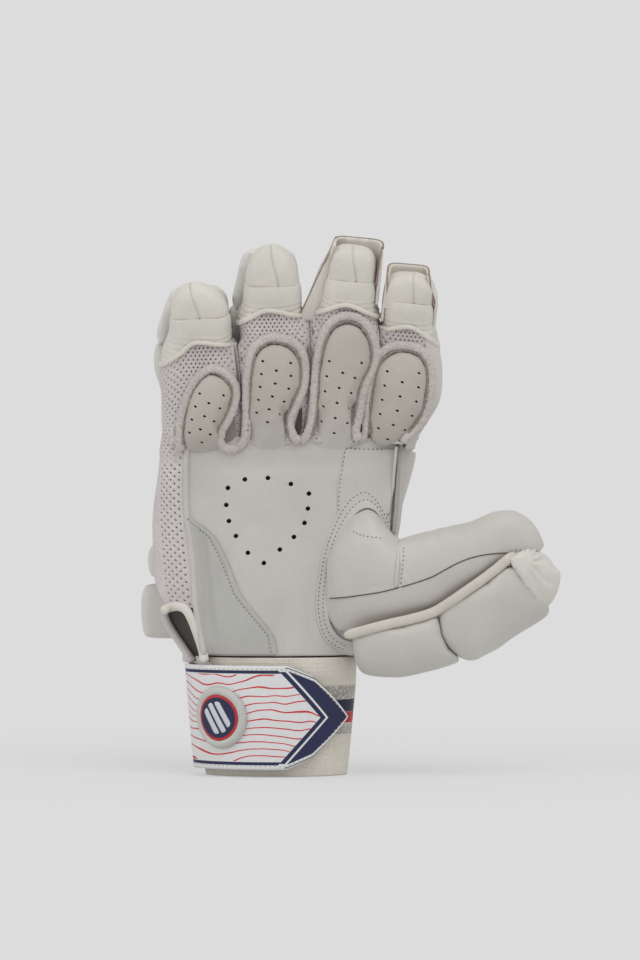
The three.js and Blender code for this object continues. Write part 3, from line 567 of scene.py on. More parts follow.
fingerForms = {  # outlines are x, z as the palm side shows them; cord is the towelling line
    "little": {
        "outline": [
            (-76.6, 161.5), (-82.6, 163.5), (-84.6, 168.5), (-84.1, 176.0), (-82.6, 183.5), (-80.1, 191.0),
            (-76.6, 197.5), (-70.6, 202.0), (-64.1, 199.5), (-60.1, 194.0), (-60.6, 187.5), (-63.1, 181.0),
            (-66.6, 174.5), (-67.1, 170.0), (-65.1, 165.5), (-69.6, 162.5),
        ],
        "cord": [
            (-85.6, 162.5), (-86.1, 169.5), (-85.6, 177.5), (-83.6, 185.5), (-81.1, 192.5), (-77.1, 199.0),
            (-70.6, 203.8), (-63.1, 201.5), (-58.6, 195.5), (-58.6, 187.5), (-61.1, 180.5), (-64.6, 174.0),
            (-66.1, 170.0), (-65.8, 167.0), (-63.6, 164.5), (-60.1, 163.8), (-57.1, 165.0),
        ],
        "columns": [0.2, 0.5, 0.8], "rows": 4, "firstHole": 191.5, "rowStep": 6.6, "crown": 6.2, "smoothFoot": False,
        "seam": (-3, 1.5), "dome": 2.0, "sag": (15, 4), "lean": 7.0, "flare": 3.5,
    },
    "ring": {
        "outline": [
            (-42.1, 157.0), (-50.6, 157.5), (-52.8, 164.5), (-52.1, 174.5), (-51.1, 188.5), (-50.1, 201.0),
            (-48.1, 211.0), (-44.1, 215.5), (-39.1, 217.0), (-32.1, 215.5), (-27.1, 210.5), (-25.6, 203.5),
            (-26.1, 196.0), (-29.1, 188.5), (-32.1, 181.0), (-32.1, 173.5), (-30.1, 165.5), (-32.6, 158.0),
        ],
        "cord": [
            (-58.6, 164.0), (-55.6, 165.8), (-53.3, 170.0), (-52.6, 178.5), (-52.6, 191.0), (-52.1, 202.5),
            (-49.6, 212.5), (-45.1, 217.5), (-39.6, 219.2), (-31.1, 217.8), (-25.1, 212.0), (-23.6, 203.5),
            (-24.1, 195.5), (-27.1, 188.0), (-30.3, 180.5), (-31.1, 175.5), (-29.6, 171.0), (-27.1, 168.5),
            (-25.6, 167.8),
        ],
        "columns": [0.2, 0.5, 0.8], "rows": 5, "firstHole": 207.5, "rowStep": 6.5, "crown": 5.6, "smoothFoot": True,
        "seam": (1.5, 5), "dome": 2.0, "sag": (10, 6), "lean": 5.0, "flare": 7.0,
    },
    "middle": {
        "outline": [
            (-9.1, 156.5), (-18.6, 157.5), (-20.8, 165.0), (-19.1, 174.0), (-17.6, 183.5), (-16.6, 194.5),
            (-15.6, 206.0), (-13.1, 217.5), (-9.6, 224.0), (-3.6, 227.5), (2.4, 226.0), (7.4, 220.5),
            (9.4, 212.5), (8.9, 206.0), (4.9, 198.5), (2.9, 191.0), (1.4, 181.0), (1.4, 173.0), (2.9, 165.0),
            (0.9, 157.5),
        ],
        "cord": [
            (-26.6, 167.8), (-24.1, 169.0), (-21.6, 173.0), (-19.6, 181.0), (-18.6, 193.5), (-17.6, 206.0),
            (-15.1, 218.5), (-11.1, 226.0), (-4.1, 230.0), (3.4, 228.5), (9.4, 222.0), (11.7, 212.5),
            (10.9, 205.5), (7.2, 198.0), (4.9, 190.5), (3.4, 181.0), (1.9, 175.0), (2.4, 170.5), (3.9, 168.0),
        ],
        "columns": [0.16, 0.5, 0.82], "rows": 5, "firstHole": 207.5, "rowStep": 7.6, "crown": 5.8, "smoothFoot": True,
        "seam": (0.2, 3.5), "dome": 3.4, "sag": (9, 8), "lean": 6.0, "flare": 4.0, "hood": (0.34, 0),
    },
    "index": {
        "outline": [
            (17.9, 165.0), (10.9, 167.0), (8.9, 173.5), (8.9, 183.5), (10.9, 196.0), (13.9, 206.5),
            (18.9, 211.5), (25.4, 213.0), (31.9, 211.5), (35.9, 207.0), (37.4, 199.5), (36.9, 192.0),
            (35.9, 186.0), (33.9, 180.5), (30.4, 174.5), (25.9, 169.5),
        ],
        "cord": [
            (3.2, 168.0), (4.9, 169.5), (6.4, 173.5), (7.2, 179.5), (7.4, 187.0), (9.4, 198.5), (12.4, 208.5),
            (17.9, 214.0), (25.4, 215.5), (32.9, 213.8), (37.9, 208.5), (39.7, 199.5), (39.2, 191.5),
            (37.9, 185.0), (35.7, 179.0), (31.2, 173.0), (27.4, 169.8), (25.2, 167.0),
        ],
        "columns": [0.2, 0.52, 0.84], "rows": 5, "firstHole": 202.5, "rowStep": 7.2, "crown": 5.6, "smoothFoot": False,
        "seam": (0.3, 1.6), "dome": 3.0, "sag": (6, 12), "lean": 0.0, "flare": 0.0, "hood": (0.05, 5.5),
        "broad": (1.6, -1.0), "footPull": 7.0,
    },
}
meshForm = {"cell": 1.85, "hole": 0.72, "wall": 0.6, "girth": 106, "round": 290}  # the air mesh of the stalls
holeRadius = {"panel": 0.55, "palm": 1.15}
stallAxis, tipAxis = (0.8, 11), (0, 11)  # across and deep, from the knuckle and from the fold
farOut = 80  # rays towards a form start this far from its axis


def fingerPlaces(name):  # frames at the knuckle and at the fold, and the length between them
    knuckle, fold = joints[name + "_knuckle"], joints[name + "_fold"]
    foot, top = Vector(knuckle["pos_m"]), Vector(fold["pos_m"])
    right = Vector(knuckle["axis"]).normalized()
    up = (top - foot).normalized()
    base = Matrix((right, up.cross(right), up)).transposed().to_4x4()
    base.translation = foot
    tip = base @ Matrix.Rotation(tipTilt, 4, "X")
    tip.translation = top
    return base, tip, (top - foot).length / mm


def wrapPoint(tree, place, centre, degrees, height, lift=0.0, strict=False):
    # the outermost point of a form round its upright axis; 0 degrees looks to the thumb side, -90 to the palm side
    angle = math.radians(degrees)
    way = Vector((math.cos(angle), math.sin(angle), 0))
    start = place @ ((Vector((*centre, height)) + way * farOut) * mm)
    inward = place.to_3x3() @ -way
    hit = tree.ray_cast(start, inward, (farOut - 0.5) * mm)[0]
    if hit is None and strict:
        return None
    if hit is None:  # past an edge: the nearest point of the form
        hit = tree.find_nearest(start + inward * ((farOut - 14) * mm))[0]
    return hit - inward * (lift * mm)


def span(base, below, above, place=None):  # two points, below and above a joint along its upright axis, round a cloth that crosses it
    at, up = (base if place is None else place).translation, base.col[2].xyz
    return at - up * below, at + up * above


def headOf(tree, place, centre, degrees, low, high):  # how high a form reaches at an angle
    for step in range(9):
        half = (low + high) / 2
        if wrapPoint(tree, place, centre, degrees, half, strict=True) is None:
            high = half
        else:
            low = half
    return low


def squareOval(angle, half, deep, power=2.7):  # a rounded oval: two half sizes to a point
    c, s = math.cos(angle), math.sin(angle)
    return math.copysign(abs(c) ** (2 / power), c) * deep, math.copysign(abs(s) ** (2 / power), s) * half


def netShape(columns, rows, place, hole, smooth=4, margin=(0, 0)):
    # an open mesh: staggered holes, none in the side margins
    shape = gridShape(columns, rows, place)
    for turn in range(smooth):
        relax(shape, [v for v in shape.verts if not v.is_boundary])
    shape.verts.ensure_lookup_table()
    chosen = []
    for vertex in shape.verts:
        column, row = vertex.index % (columns + 1), vertex.index // (columns + 1)
        if not vertex.is_boundary and (column + row) % 2 and margin[0] <= column <= columns - margin[1]:
            chosen.append(vertex)
    made = bmesh.ops.bevel(
        shape, geom=chosen, offset=hole * mm, offset_type="OFFSET", segments=2, profile=0.5, affect="VERTICES",
        material=-1,
    )
    bmesh.ops.delete(shape, geom=made["faces"], context="FACES_ONLY")
    return shape


def outlineReach(outline):  # distance from the middle to the outline, by direction
    closed = Trail(outline, closed=True)
    middle = sum((Vector((x, 0, z)) for x, z in outline), Vector()) / len(outline)
    arms = [closed.at(k / 240) - middle for k in range(240)]
    rays = sorted((math.atan2(arm.z, arm.x), arm.length) for arm in arms)
    rays = [(rays[-1][0] - 2 * math.pi, rays[-1][1]), *rays, (rays[0][0] + 2 * math.pi, rays[0][1])]
    return middle, lambda angle: between(rays, angle)


def discShares(u, v):  # a square grid as a disc: how far out, and which way
    a, b = 2 * u - 1, 2 * v - 1
    x, y = a * math.sqrt(1 - b * b / 2), b * math.sqrt(1 - a * a / 2)
    return min(math.hypot(x, y), 1), math.atan2(y, x)


def frontLevel(base, x, z, reach=2.5):  # depth that a finger's palm side has at x, z, bridged over the crease
    if abs(z - crease) < reach:
        low, high = (frontLevel(base, x, crease + side * reach) for side in (-1, 1))
        return low + (high - low) * (z - crease + reach) / (2 * reach)
    foot, out, up = base.translation, base.col[1].xyz, base.col[2].xyz
    if z < crease:
        return min(frontPoint(handFront, x, z).y, foot.y + 2.5 * mm)
    flat = foot.y - ((x * mm - foot.x) * out.x + (z * mm - foot.z) * out.z) / out.y
    aside = (x - foot.x / mm) - (z - foot.z / mm) * up.x / up.z
    return flat + 1.4 * ((aside - 1.5) / 14) ** 2 * mm


def onFinger(base, x, z, lift):
    return Vector((x * mm, frontLevel(base, x, z) - lift * mm, z * mm))


def fingerPanel(name, form, base):  # a pillow of leather on the palm side of a finger, with its holes
    middle, reach = outlineReach(form["outline"])
    crown, smoothFoot = form["crown"], form["smoothFoot"]

    def place(u, v, front=True):
        out, angle = discShares(u, v)
        far = reach(angle) * out
        footShare = smoothStep(0.45, 0.95, -math.sin(angle)) * smoothStep(0.2, 0.9, out)
        edge = 1.3 * (1 - footShare) + (-2.2 if smoothFoot else 0.3) * footShare  # a smooth foot comes out of the palm
        bulge = (1 - out ** 2.4) ** (0.58 + (1.0 if smoothFoot else 0.25) * footShare) * crown
        swell = bulge if front else -0.9 * (1 - out ** 6)
        return onFinger(base, middle.x + far * math.cos(angle), middle.z + far * math.sin(angle), edge + swell)

    shape = gridShape(18, 18, place)
    behind = addPiece("behind", gridShape(18, 18, lambda u, v: place(u, v, False)))
    shape.from_mesh(behind.data)
    bpy.data.objects.remove(behind)
    joined(shape)
    if shape.calc_volume(signed=True) < 0:
        bmesh.ops.reverse_faces(shape, faces=shape.faces)
    # the panel's darker leather is painted shade; the fading one lightens to the palm's colour at the foot
    piece = addPiece(name + "_palm_panel", shape, panelShadeFadeHide if smoothFoot else panelShadedHide, holeShade)
    applied(subdivide(piece, 2))
    moved(piece, lambda at, normal: normal * ((noise.noise(at * 110) * 0.4 + noise.noise(at * 260) * 0.16) * mm))
    skin = surfaceOf(piece)
    spots = []
    for row in range(form["rows"] + 1):
        for column, share in enumerate(form["columns"]):
            z = form["firstHole"] - form["rowStep"] * row * 0.98 + (1.6 if column == 1 else -0.9 * (column == 2))
            left, right = edgesAt(form["outline"], z)
            if (row == 0 and column == 1) or (row == form["rows"] and column != 1) or left is None:
                continue
            hit, normal = struck(skin, left + (right - left) * share, z)
            if hit is not None:
                spots.append((hit, normal, Vector((1, 0, -0.35))))
    cutHoles(piece, spots, holeRadius["panel"], 4, 1.5, name == "little")
    bend = span(base, 0.006, 0.008)
    crossing(piece, "hand", name + "_base", *bend, "panel_leather", name + "_panel", padded=0.7)


def edgesAt(outline, z):  # left and right of an outline at a height
    closed = Trail(outline, closed=True)
    points = [closed.at(k / 160) for k in range(161)]
    pairs = [(a, b) for a, b in zip(points, points[1:]) if (a.z - z) * (b.z - z) < 0]
    cuts = [a.lerp(b, (z - a.z) / (b.z - a.z)).x for a, b in pairs]
    return (min(cuts), max(cuts)) if len(cuts) >= 2 else (None, None)


borderForm = {  # lift and cord of the towelling round a panel, and of the dark line inside it, painted shade where the panel tucks under
    "towel": (1.3, {"wide": 2.3, "thick": 2.0, "around": 16, "step": 0.8, "rough": 0.5}),
    "worn": (2.0, {"wide": 0.75, "thick": 0.95, "around": 10, "step": 0.7, "rough": 0.9}),
}


def fingerCord(name, form, base):  # the wide soft border of a panel, and a dark line inside it: painted shade where the panel tucks under the towelling
    def cord(kind, line):
        lift, settings = borderForm[kind]
        return cordShape([onFinger(base, x, z, lift) for x, z in line], **settings)

    bend = span(base, 0.004, 0.006)
    towel = addPiece(name + "_towel_cord", cord("towel", form["cord"]), towelling)
    crossing(towel, "hand", name + "_base", *bend, "towelling", name + "_binding")
    closed = Trail(form["outline"], closed=True)
    inner = []
    for k in range(61):
        at = closed.at(k / 60)
        if at.z > crease + (4 if form["smoothFoot"] or at.x > 0 else -1.5):
            inner.append((at.x, at.z))
    # the dark inner cord is painted shade in the crease
    worn = addPiece(name + "_worn_edge", cord("worn", inner), creaseShadeCord)
    crossing(worn, "hand", name + "_base", *bend, "towelling")


def sideSag(form, degrees):  # how far a band's edge has run down at an angle
    turn = math.radians(degrees + 90)
    return form["sag"][0 if turn < 0 else 1] * math.sin(min(abs(turn), math.pi / 2)) ** 2


def footPull(form, base, degrees, height):  # a finger whose outer side is drawn in at its foot
    side = math.cos(math.radians(degrees))
    side = smoothStep(0, 0.45, side) if math.sin(math.radians(degrees)) > 0 else max(side, 0)
    inward = form.get("footPull", 0) * (1 - smoothStep(0, 26, height)) * side
    return base.to_3x3() @ Vector((-inward * mm, 0, 0))


def fingerSleeve(name, form, base, length):  # the mesh stall, its lining, and the tube that joins it to the hand
    tree = surfaceOf(name + "_sleeve")
    besides = surfaceOf(*(other + "_sleeve" for other in neighbours[name]))
    heads = {}  # how high the mesh reaches, by angle

    def place(u, v):
        degrees = -90 + (u - 0.5) * meshForm["round"]
        side = math.cos(math.radians(degrees))
        key = round(degrees, 3)
        if key not in heads:
            most = length + 4 + 3 * min(abs(side) * 1.1, 1) - sideSag(form, degrees)
            heads[key] = min(headOf(tree, base, stallAxis, degrees, 20, length + 12), most)
        height = 0.4 + (heads[key] - 0.5) * v
        at = wrapPoint(tree, base, stallAxis, degrees, height, 0.4) + footPull(form, base, degrees, height)
        way = base.to_3x3() @ Vector((1 if side > 0 else -1, 0, 0))
        hit, *rest, gap = besides.ray_cast(at, way, 0.009)
        if hit is None:
            return at
        return at + way * (max(gap / 2 - 0.0001, 0) * smoothStep(0.25, 0.8, abs(side)))

    columns, rows = (int(size / meshForm["cell"]) // 2 * 2 for size in (meshForm["girth"], length))
    piece = addPiece(name + "_air_mesh", netShape(columns, rows, place, meshForm["hole"]), airMesh)
    settle(closedWall(piece, meshForm["wall"]), name + "_base", "mesh", name + "_sleeve")
    inner = sheet(name + "_stall_lining", (40, 14), lambda u, v: inwards(place(u, v), base, 1.3), gussetCloth)
    settle(closedWall(inner, 0.4), name + "_base", "mesh")

    def rootPlace(u, v):
        height = -11 + 24 * v
        at = base.inverted() @ wrapPoint(tree, base, stallAxis, 360 * u, max(height, 0.8))
        at.z = height * mm
        step = 1.9 + 5 * (1 - smoothStep(0.05, 0.5, v))
        at = inwards(base @ at, base, step) + footPull(form, base, 360 * u, height)
        at.y = max(at.y, (-8.5 - 6 * smoothStep(0, 9, height)) * mm)  # stays behind the palm
        if at.z < 0.168:
            at.x = min(at.x, sidePanelX(at.y / mm, at.z / mm) * mm - 0.0028)
        return at

    root = addPiece(name + "_root_lining", joined(gridShape(36, 12, rootPlace)), foldCloth)
    crossing(closedWall(root, 0.4), "hand", name + "_base", *span(base, 0.007, 0.008), "mesh")


def inwards(point, base, step):  # a little towards the axis of a finger
    local = base.inverted() @ point
    arm = Vector((stallAxis[0] * mm, stallAxis[1] * mm, local.z)) - local
    return base @ (local + arm.normalized() * (step * mm))


def localBox(node, place):  # a CAD node's box in a frame, in mm
    points = [place.inverted() @ v.co / mm for v in frame["nodes"][node].data.vertices]
    return [Vector([pick(p[k] for p in points) for k in range(3)]) for pick in (min, max)]


bandForm = {"round": 216, "foot": 1.4, "tall": 11.8, "grip": (1.2, 12.6), "wall": 1.3, "lip": (1.25, 1.05)}


def fingerBand(name, form, base, tip, length):  # the cream band over the fold; its edges run lower at the sides
    tree, stall = surfaceOf(name + "_band"), surfaceOf(name + "_sleeve")
    up, bend = base.col[2].xyz, span(base, 0.009, 0.002, tip)

    def place(u, v):
        degrees = -90 + (u - 0.5) * bandForm["round"]
        height = bandForm["foot"] + bandForm["tall"] * v - sideSag(form, degrees) * (1 - 0.85 * v)
        least, most = bandForm["grip"]
        lift = 0.5 + 0.9 * math.sin(math.pi * v) ** 0.7
        local = tip.inverted() @ wrapPoint(tree, tip, tipAxis, degrees, min(max(height, least), most), lift)
        local.z = height * mm
        at = tip @ local
        low = (base.inverted() @ at).z / mm
        # the sides run down over the stall
        flank = wrapPoint(stall, base, stallAxis, degrees, min(low, length - 1), 0.9)
        return at.lerp(flank + up * (max(low - length + 1, 0) * mm), smoothStep(2, -5, height))

    def creases(at, normal):  # soft folds along the lower edge
        local = tip.inverted() @ at / mm
        low = 1 - smoothStep(1, 6, local.z)
        fold = math.sin(local.z * 2.4 + 2.5 * noise.noise(at * 70)) * 0.28 * low
        return normal * ((noise.noise(at * 150) * 0.35 + fold) * mm)

    piece = sheet(name + "_cream_band", (20, 6), place, creamHide, levels=2, flip=True, relief=creases)
    closedWall(piece, bandForm["wall"], 1)
    crossing(piece, name + "_base", name + "_tip", *bend, "cream_leather", name + "_band")
    lip = [tip.inverted() @ place(0.03 + 0.94 * k / 16, 0) for k in range(17)]
    lip = [tip @ (at + Vector((0, -0.4, -0.2)) * mm) for at in lip]
    shape = cordShape(lip, *bandForm["lip"], around=12, step=1.0, rough=0.12)
    fold = addPiece(name + "_fold_lip", shape, creamHide)
    crossing(fold, name + "_base", name + "_tip", *bend, "cream_leather")


def fingerTip(name, form, tip):  # the soft tip with its seam, and the roll behind it
    low, high = localBox(name + "_tip_pad", tip)
    middle, half = (low + high) / 2, (high - low) / 2
    wider, shift = form.get("broad", (0, 0))

    def place(u, v):  # a full dome that rises out of the band
        power = form["dome"]
        share = max(0, (v - 0.22) / 0.78)
        rise = math.sin(share * math.pi / 2)
        height = low.z - 5 + 5 * min(v / 0.22, 1) + (high.z - low.z) * rise
        scale = max(1 - rise ** power, 0) ** (1 / power)
        x, y = squareOval(2 * math.pi * u, half.y, half.x + 0.9 + wider)
        aside = (form["seam"][0] - middle.x) * 0.6 * rise ** 2  # the top of the dome lies where its seam ends
        return tip @ (Vector((middle.x + shift + aside + x * scale, middle.y + y * scale, height)) * mm)

    piece = addPiece(name + "_tip_cushion", joined(gridShape(24, 12, place)), creamHide)
    applied(subdivide(piece, 3))
    back = tip.inverted()
    top, foot = form["seam"]

    def seamAt(height):
        return foot + (top - foot) * smoothStep(low.z - 2, high.z, height)

    def groove(at, normal):
        local = back @ at / mm
        aside = local.x - seamAt(local.z)
        near = bell(aside, 0.5) * (local.y < 9)
        puff = bell(aside, 4) * (local.y < 9)
        return normal * ((0.5 * puff - 1.0 * near + noise.noise(at * 130) * 0.4 + noise.noise(at * 420) * 0.1) * mm)

    moved(piece, groove)
    settle(piece, name + "_tip", "cream_leather", name + "_tip_pad", padded=0.8)
    line = []
    for k in range(9):
        height = low.z - 0.5 + (high.z - low.z) * 0.86 * k / 8
        at = tip @ (Vector((seamAt(height), 0, height)) * mm) / mm
        line.append((at.x, at.z))
    stitchLine(name + "_tip", surfaceOf(piece), line, "tip", paleThread)
    roll = softCopy(name + "_tip_back_roll", name + "_tip_roll", rollLitHide, *rollSizes["tip"])
    lean = form["lean"]

    def leaning(at, normal):  # the side of the roll stands out below
        local = back @ at / mm
        reach = (1 - smoothStep(-6, 18, local.z)) * smoothStep(4, -14, local.x) if local.x < 4 else 0
        return tip.to_3x3() @ (Vector((-1, -0.6 * reach, -0.5)) * (lean * reach * mm))

    moved(roll, leaning)
    settle(roll, name + "_tip", "leather", name + "_tip_roll", padded=0.8)


hoodForm = {"axis": (0, 12), "start": -62, "round": 304, "heads": (12, 40), "lining": 0.7}


def fingerHood(name, form, tip):  # a stiff shell round the tip, open to the palm side
    piece = remeshed(name + "_tip_hood", name + "_tip_guard", guardFibre, 0.8, 4)
    back = tip.inverted()
    leftLean, rightCut = form["hood"]

    def bent(local):  # the left side leans in, the right corner is rounded off
        left = smoothStep(2, 13, -local.x) * leftLean * (local.z - 13)
        right = -rightCut * smoothStep(0, 13, local.x) * smoothStep(12, 28, local.z)
        return Vector((left + right, 0, 0))

    moved(piece, lambda at, normal: tip.to_3x3() @ bent(back @ at / mm) * mm)
    settle(piece, name + "_tip", "guard_fibre", name + "_tip_guard")
    tree = surfaceOf(name + "_tip_guard")
    leans = leftLean > 0.2  # a leaning side has its own edge
    rim = []
    for k in range(24 if leans else 31):
        degrees = hoodForm["start"] + (k / 30) * hoodForm["round"]
        top = headOf(tree, tip, hoodForm["axis"], degrees, *hoodForm["heads"])
        at = back @ wrapPoint(tree, tip, hoodForm["axis"], degrees, top - 0.2, -0.4) / mm
        rim.append(tip @ ((at + bent(at)) * mm))
    if leans:
        rim += [tip @ (Vector((-15.6 + leftLean * (h - 13), 3.4, h)) * mm) for h in (26, 18, 10, 2, -5, -11)]
    edge = addPiece(name + "_hood_piping", cordShape(rim, 0.5, around=8, step=1.0), rimBrown)
    settle(edge, name + "_tip", "guard_fibre")
    if not leans:
        return

    def liningSheet(u, v):  # a soft sheet from the leaning side to the band
        height = -11 + 38.5 * v
        left = -15.4 + leftLean * (height - 13)
        return tip @ (Vector((left + (-7.5 - left) * u, 2.9 + 6 * u * u, height)) * mm)

    lining = sheet(name + "_hood_lining", (8, 12), liningSheet, creamHide, levels=1, flip=True)
    settle(closedWall(lining, hoodForm["lining"]), name + "_tip", "cream_leather")


def backOval(place, node, degrees, height, inset):  # the back half round a form, a little inside it
    low, high = localBox(node, place)
    turn = math.radians(degrees)
    across = (low.x + high.x) / 2 + math.cos(turn) * ((high.x - low.x) / 2 - inset)
    return place @ (Vector((across, 10 + math.sin(turn) ** 0.6 * (high.y - 10 - inset), height)) * mm)


def backCloths(name, form, base, tip, length):  # soft cloth over the back of the fold and of the knuckle
    def foldPlace(u, v):
        degrees = 4 + 172 * u
        low = backOval(base, name + "_sleeve", degrees, length - 8, 1.0)
        return low.lerp(backOval(tip, name + "_tip_pad", degrees, 6, 0.8), v)

    def knucklePlace(u, v):
        degrees = 4 + 172 * u
        high = backOval(base, name + "_sleeve", degrees, 9, 2.0) + footPull(form, base, degrees, 4)
        low = backOval(base, name + "_sleeve", degrees, -8, 2.0)
        hit, normal, *rest = handBack.ray_cast(Vector((low.x, 0.1, low.z)), Vector((0, -1, 0)))
        if hit is not None:
            low.y = min(low.y, hit.y - 0.0024)
        low.x = min(low.x, sidePanelX(low.y / mm, low.z / mm) * mm - 0.0028)
        return low.lerp(high, v)

    for title, place, first, second, joint in (
        ("_fold_cloth", foldPlace, name + "_base", name + "_tip", tip),
        ("_knuckle_cloth", knucklePlace, "hand", name + "_base", base),
    ):
        cloth = closedWall(sheet(name + title, (18, 12), place, foldCloth), 0.5)
        crossing(cloth, first, second, *span(base, 0.007, 0.008, joint), "mesh")


def fingerRoll(name, form, base, length):  # the padded roll behind a finger
    roll = softCopy(name + "_back_roll", name + "_base_roll", rollLitHide, *rollSizes["finger"])
    besides = surfaceOf(*(other + "_base_roll" for other in neighbours[name]))
    across, out, up = (base.col[k].xyz for k in range(3))
    inside = base.inverted()

    def fuller(at, normal):  # neighbouring rolls touch: each fills half of the gap
        way = across if normal.dot(across) > 0 else -across
        hit, *rest, gap = besides.ray_cast(at, way, 0.012)
        if hit is None or abs(normal.dot(across)) < 0.15:
            return Vector()
        return way * max(gap / 2 - 0.0001, 0)

    def flared(at, normal):  # the side of the roll stands out towards its head
        local = inside @ at / mm
        reach = smoothStep(length - 34, length - 8, local.z) * smoothStep(-2, -12, local.x) if local.x < -2 else 0
        pull = form.get("footPull", 0) * 1.1 * (1 - smoothStep(2, 30, local.z)) * smoothStep(0, 12, local.x)
        return (up * 0.5 - across - out * 0.9 * reach) * (form["flare"] * reach * mm) - across * (pull * mm)

    moved(roll, fuller)
    moved(roll, flared)
    modify(roll, "SMOOTH", factor=0.5, iterations=1)
    settle(applied(roll), name + "_base", "leather", name + "_base_roll", padded=0.8)


def sidePanelX(y, z):  # how far out the side panel lies at a depth and height
    front, outer, depth = (between(sideForm[key], z) for key in ("front", "outer", "depth"))
    return front + (outer - front) * smoothStep(0, sideForm["turn"], (y - depth) / (sideForm["backDepth"] - depth))


handFront, handBack = surfaceOf("palm_leather", "side_mesh", "index_side"), surfaceOf("back_panel")
sideForm = {  # the leather side below the index finger: front edge, outermost line, back edge, against height
    "front": [(62, -1), (75, 1), (100, 12), (121, 20.5), (136, 21), (147, 21.2), (157, 22), (166, 22.8)],
    "depth": [(62, -8), (100, -9), (121, -10.5), (136, -12.5), (150, -14), (166, -16)],
    "outer": [(62, 1.5), (75, 5), (100, 17), (121, 24), (141, 26.4), (154, 29.4), (166, 31.2), (172, 50)],
    "back": [(62, 0), (75, 2), (100, 14), (121, 21), (142, 24), (154, 27), (166, 29)],
    "foot": 61.5, "tall": 104, "backDepth": 18, "turn": 0.6,  # turn is the share of the width at the outermost line
}
neighbours = {"little": ("ring",), "ring": ("little", "middle"), "middle": ("ring", "index"), "index": ("middle",)}
for name, form in fingerForms.items():
    base, tip, length = fingerPlaces(name)
    fingerSleeve(name, form, base, length)
    fingerPanel(name, form, base)
    fingerCord(name, form, base)
    fingerBand(name, form, base, tip, length)
    fingerTip(name, form, tip)
    backCloths(name, form, base, tip, length)
    if "hood" in form:
        fingerHood(name, form, tip)
    fingerRoll(name, form, base, length)
    print("finger", name)

for number, x in enumerate((-60.1, -26.6, 3.4)):  # where neighbouring fingers part
    def gussetPlace(u, v):
        return Vector((x + (u - 0.5) * 9, -4 + 3 * math.cos((u - 0.5) * 3), crease - 8 + 22 * v)) * mm

    gusset = sheet("finger_gusset_%d" % number, (8, 10), gussetPlace, gussetCloth)
    settle(closedWall(gusset, 0.5, 1), "hand", "mesh")

slitForms = {  # dark openings at the foot of each crotch, painted shade in the gaps: middle, half sizes, slant, cloth
    "little": (-60.6, 174.0, 2.6, 6.5, 0.25, gussetCloth),
    "ring": (-26.4, 177.5, 1.5, 7.5, 0.16, slitShade),
    "middle": (4.0, 174.5, 1.3, 6.5, 0.12, slitShade),
}
for name, (x, z, half, tall, slant, cloth) in slitForms.items():
    base, tip, length = fingerPlaces(name)

    def slitPlace(u, v):
        out, angle = discShares(u, v)
        rise = math.sin(angle) * out * tall
        across = x + math.cos(angle) * out * half * (1 - 0.5 * rise / tall) + slant * rise
        return Vector((across * mm, frontLevel(base, x, z + rise) - 0.9 * mm, (z + rise) * mm))

    slit = sheet(name + "_crotch_slit", (8, 8), slitPlace, cloth)
    settle(closedWall(slit, 0.4, 1), name + "_base", "mesh")

# the leather side of the index finger, and the mesh that runs from the hand up the little finger
base, tip, length = fingerPlaces("index")
flankTree = surfaceOf("index_sleeve")


def flankPlace(u, v):
    puff = 1.0 + 2.2 * math.sin(math.pi * u) * math.sin(math.pi * min(v + 0.12, 1)) ** 0.5
    degrees, height = -52 + 125 * u, (length + 1) * v - 2.4  # it starts a little below the crease
    at = wrapPoint(flankTree, base, stallAxis, degrees, max(height, 0.6), puff)
    at = at + footPull(fingerForms["index"], base, degrees, height)
    return at + base.to_3x3() @ Vector((0, 0, min(height - 0.6, 0) * mm))


flank = sheet("index_leather_side", (12, 14), flankPlace, thumbHide, levels=2)
settle(closedWall(flank, 1.2), "index_base", "leather")

base, tip, length = fingerPlaces("little")
joinTree = surfaceOf("little_sleeve", "side_mesh")
handAxis = Matrix.Translation(Vector((-0.040, 0.003, 0)))


def joinPlace(u, v):  # bridges the crease, its ends tucked under the two meshes
    degrees, height = 201 - 28 * u, crease - 9 + 18 * v
    lift = 1.2 * math.sin(math.pi * v) ** 0.5 - 0.45
    if abs(height - crease) > 4:
        return wrapPoint(joinTree, handAxis, (0, 0), degrees, height, lift)
    low, high = (wrapPoint(joinTree, handAxis, (0, 0), degrees, crease + side, lift) for side in (-4, 4))
    return low.lerp(high, (height - crease + 4) / 8)


joinShape = netShape(20, 10, joinPlace, meshForm["hole"], margin=(2, 7))
joinNet = closedWall(addPiece("little_side_mesh_join", joinShape, airMesh), meshForm["wall"])
crossing(joinNet, "hand", "little_base", *span(base, 0.006, 0.006), "mesh")

# palm, patches, sides and back of the hand

palmForm = {
    "foot": 60.6, "head": 170.2, "lift": 0.2, "thick": 1.6,
    "left": [(60.5, -75), (83.5, -77.2), (108.5, -79.3), (130, -82.2), (140, -83), (171, -83.2)],
    "right": [
        (60.5, 3), (66, 4), (75, 5), (100, 12.5), (115, 18), (122, 20.2), (136, 21.2), (150, 22.4), (160, 23.4),
        (171, 25),
    ],
    "holes": [
        (-53.6, 148.8), (-42.1, 149.5), (-30.6, 146.5), (-21.6, 141.7), (-22.1, 134.2), (-23.8, 127.0),
        (-29.1, 120.0), (-36.1, 113.7), (-44.1, 107.0), (-52.1, 112.1), (-58.1, 120.5), (-61.6, 128.0),
        (-62.9, 136.0), (-62.1, 144.5),
    ],
}
heelForm = {
    "foot": 61.2, "head": 129.6, "lift": 0.9, "hem": 2.7,
    "left": [(61, -74.8), (88, -77.7), (108, -79.2), (124, -82), (130, -83)],
    "right": [
        (61, -37.2), (70.5, -39), (79, -46), (85.5, -51.5), (91.5, -56), (98.5, -58.8), (106, -61.6),
        (113.5, -65), (120.5, -69), (126.5, -77), (130, -82),
    ],
}
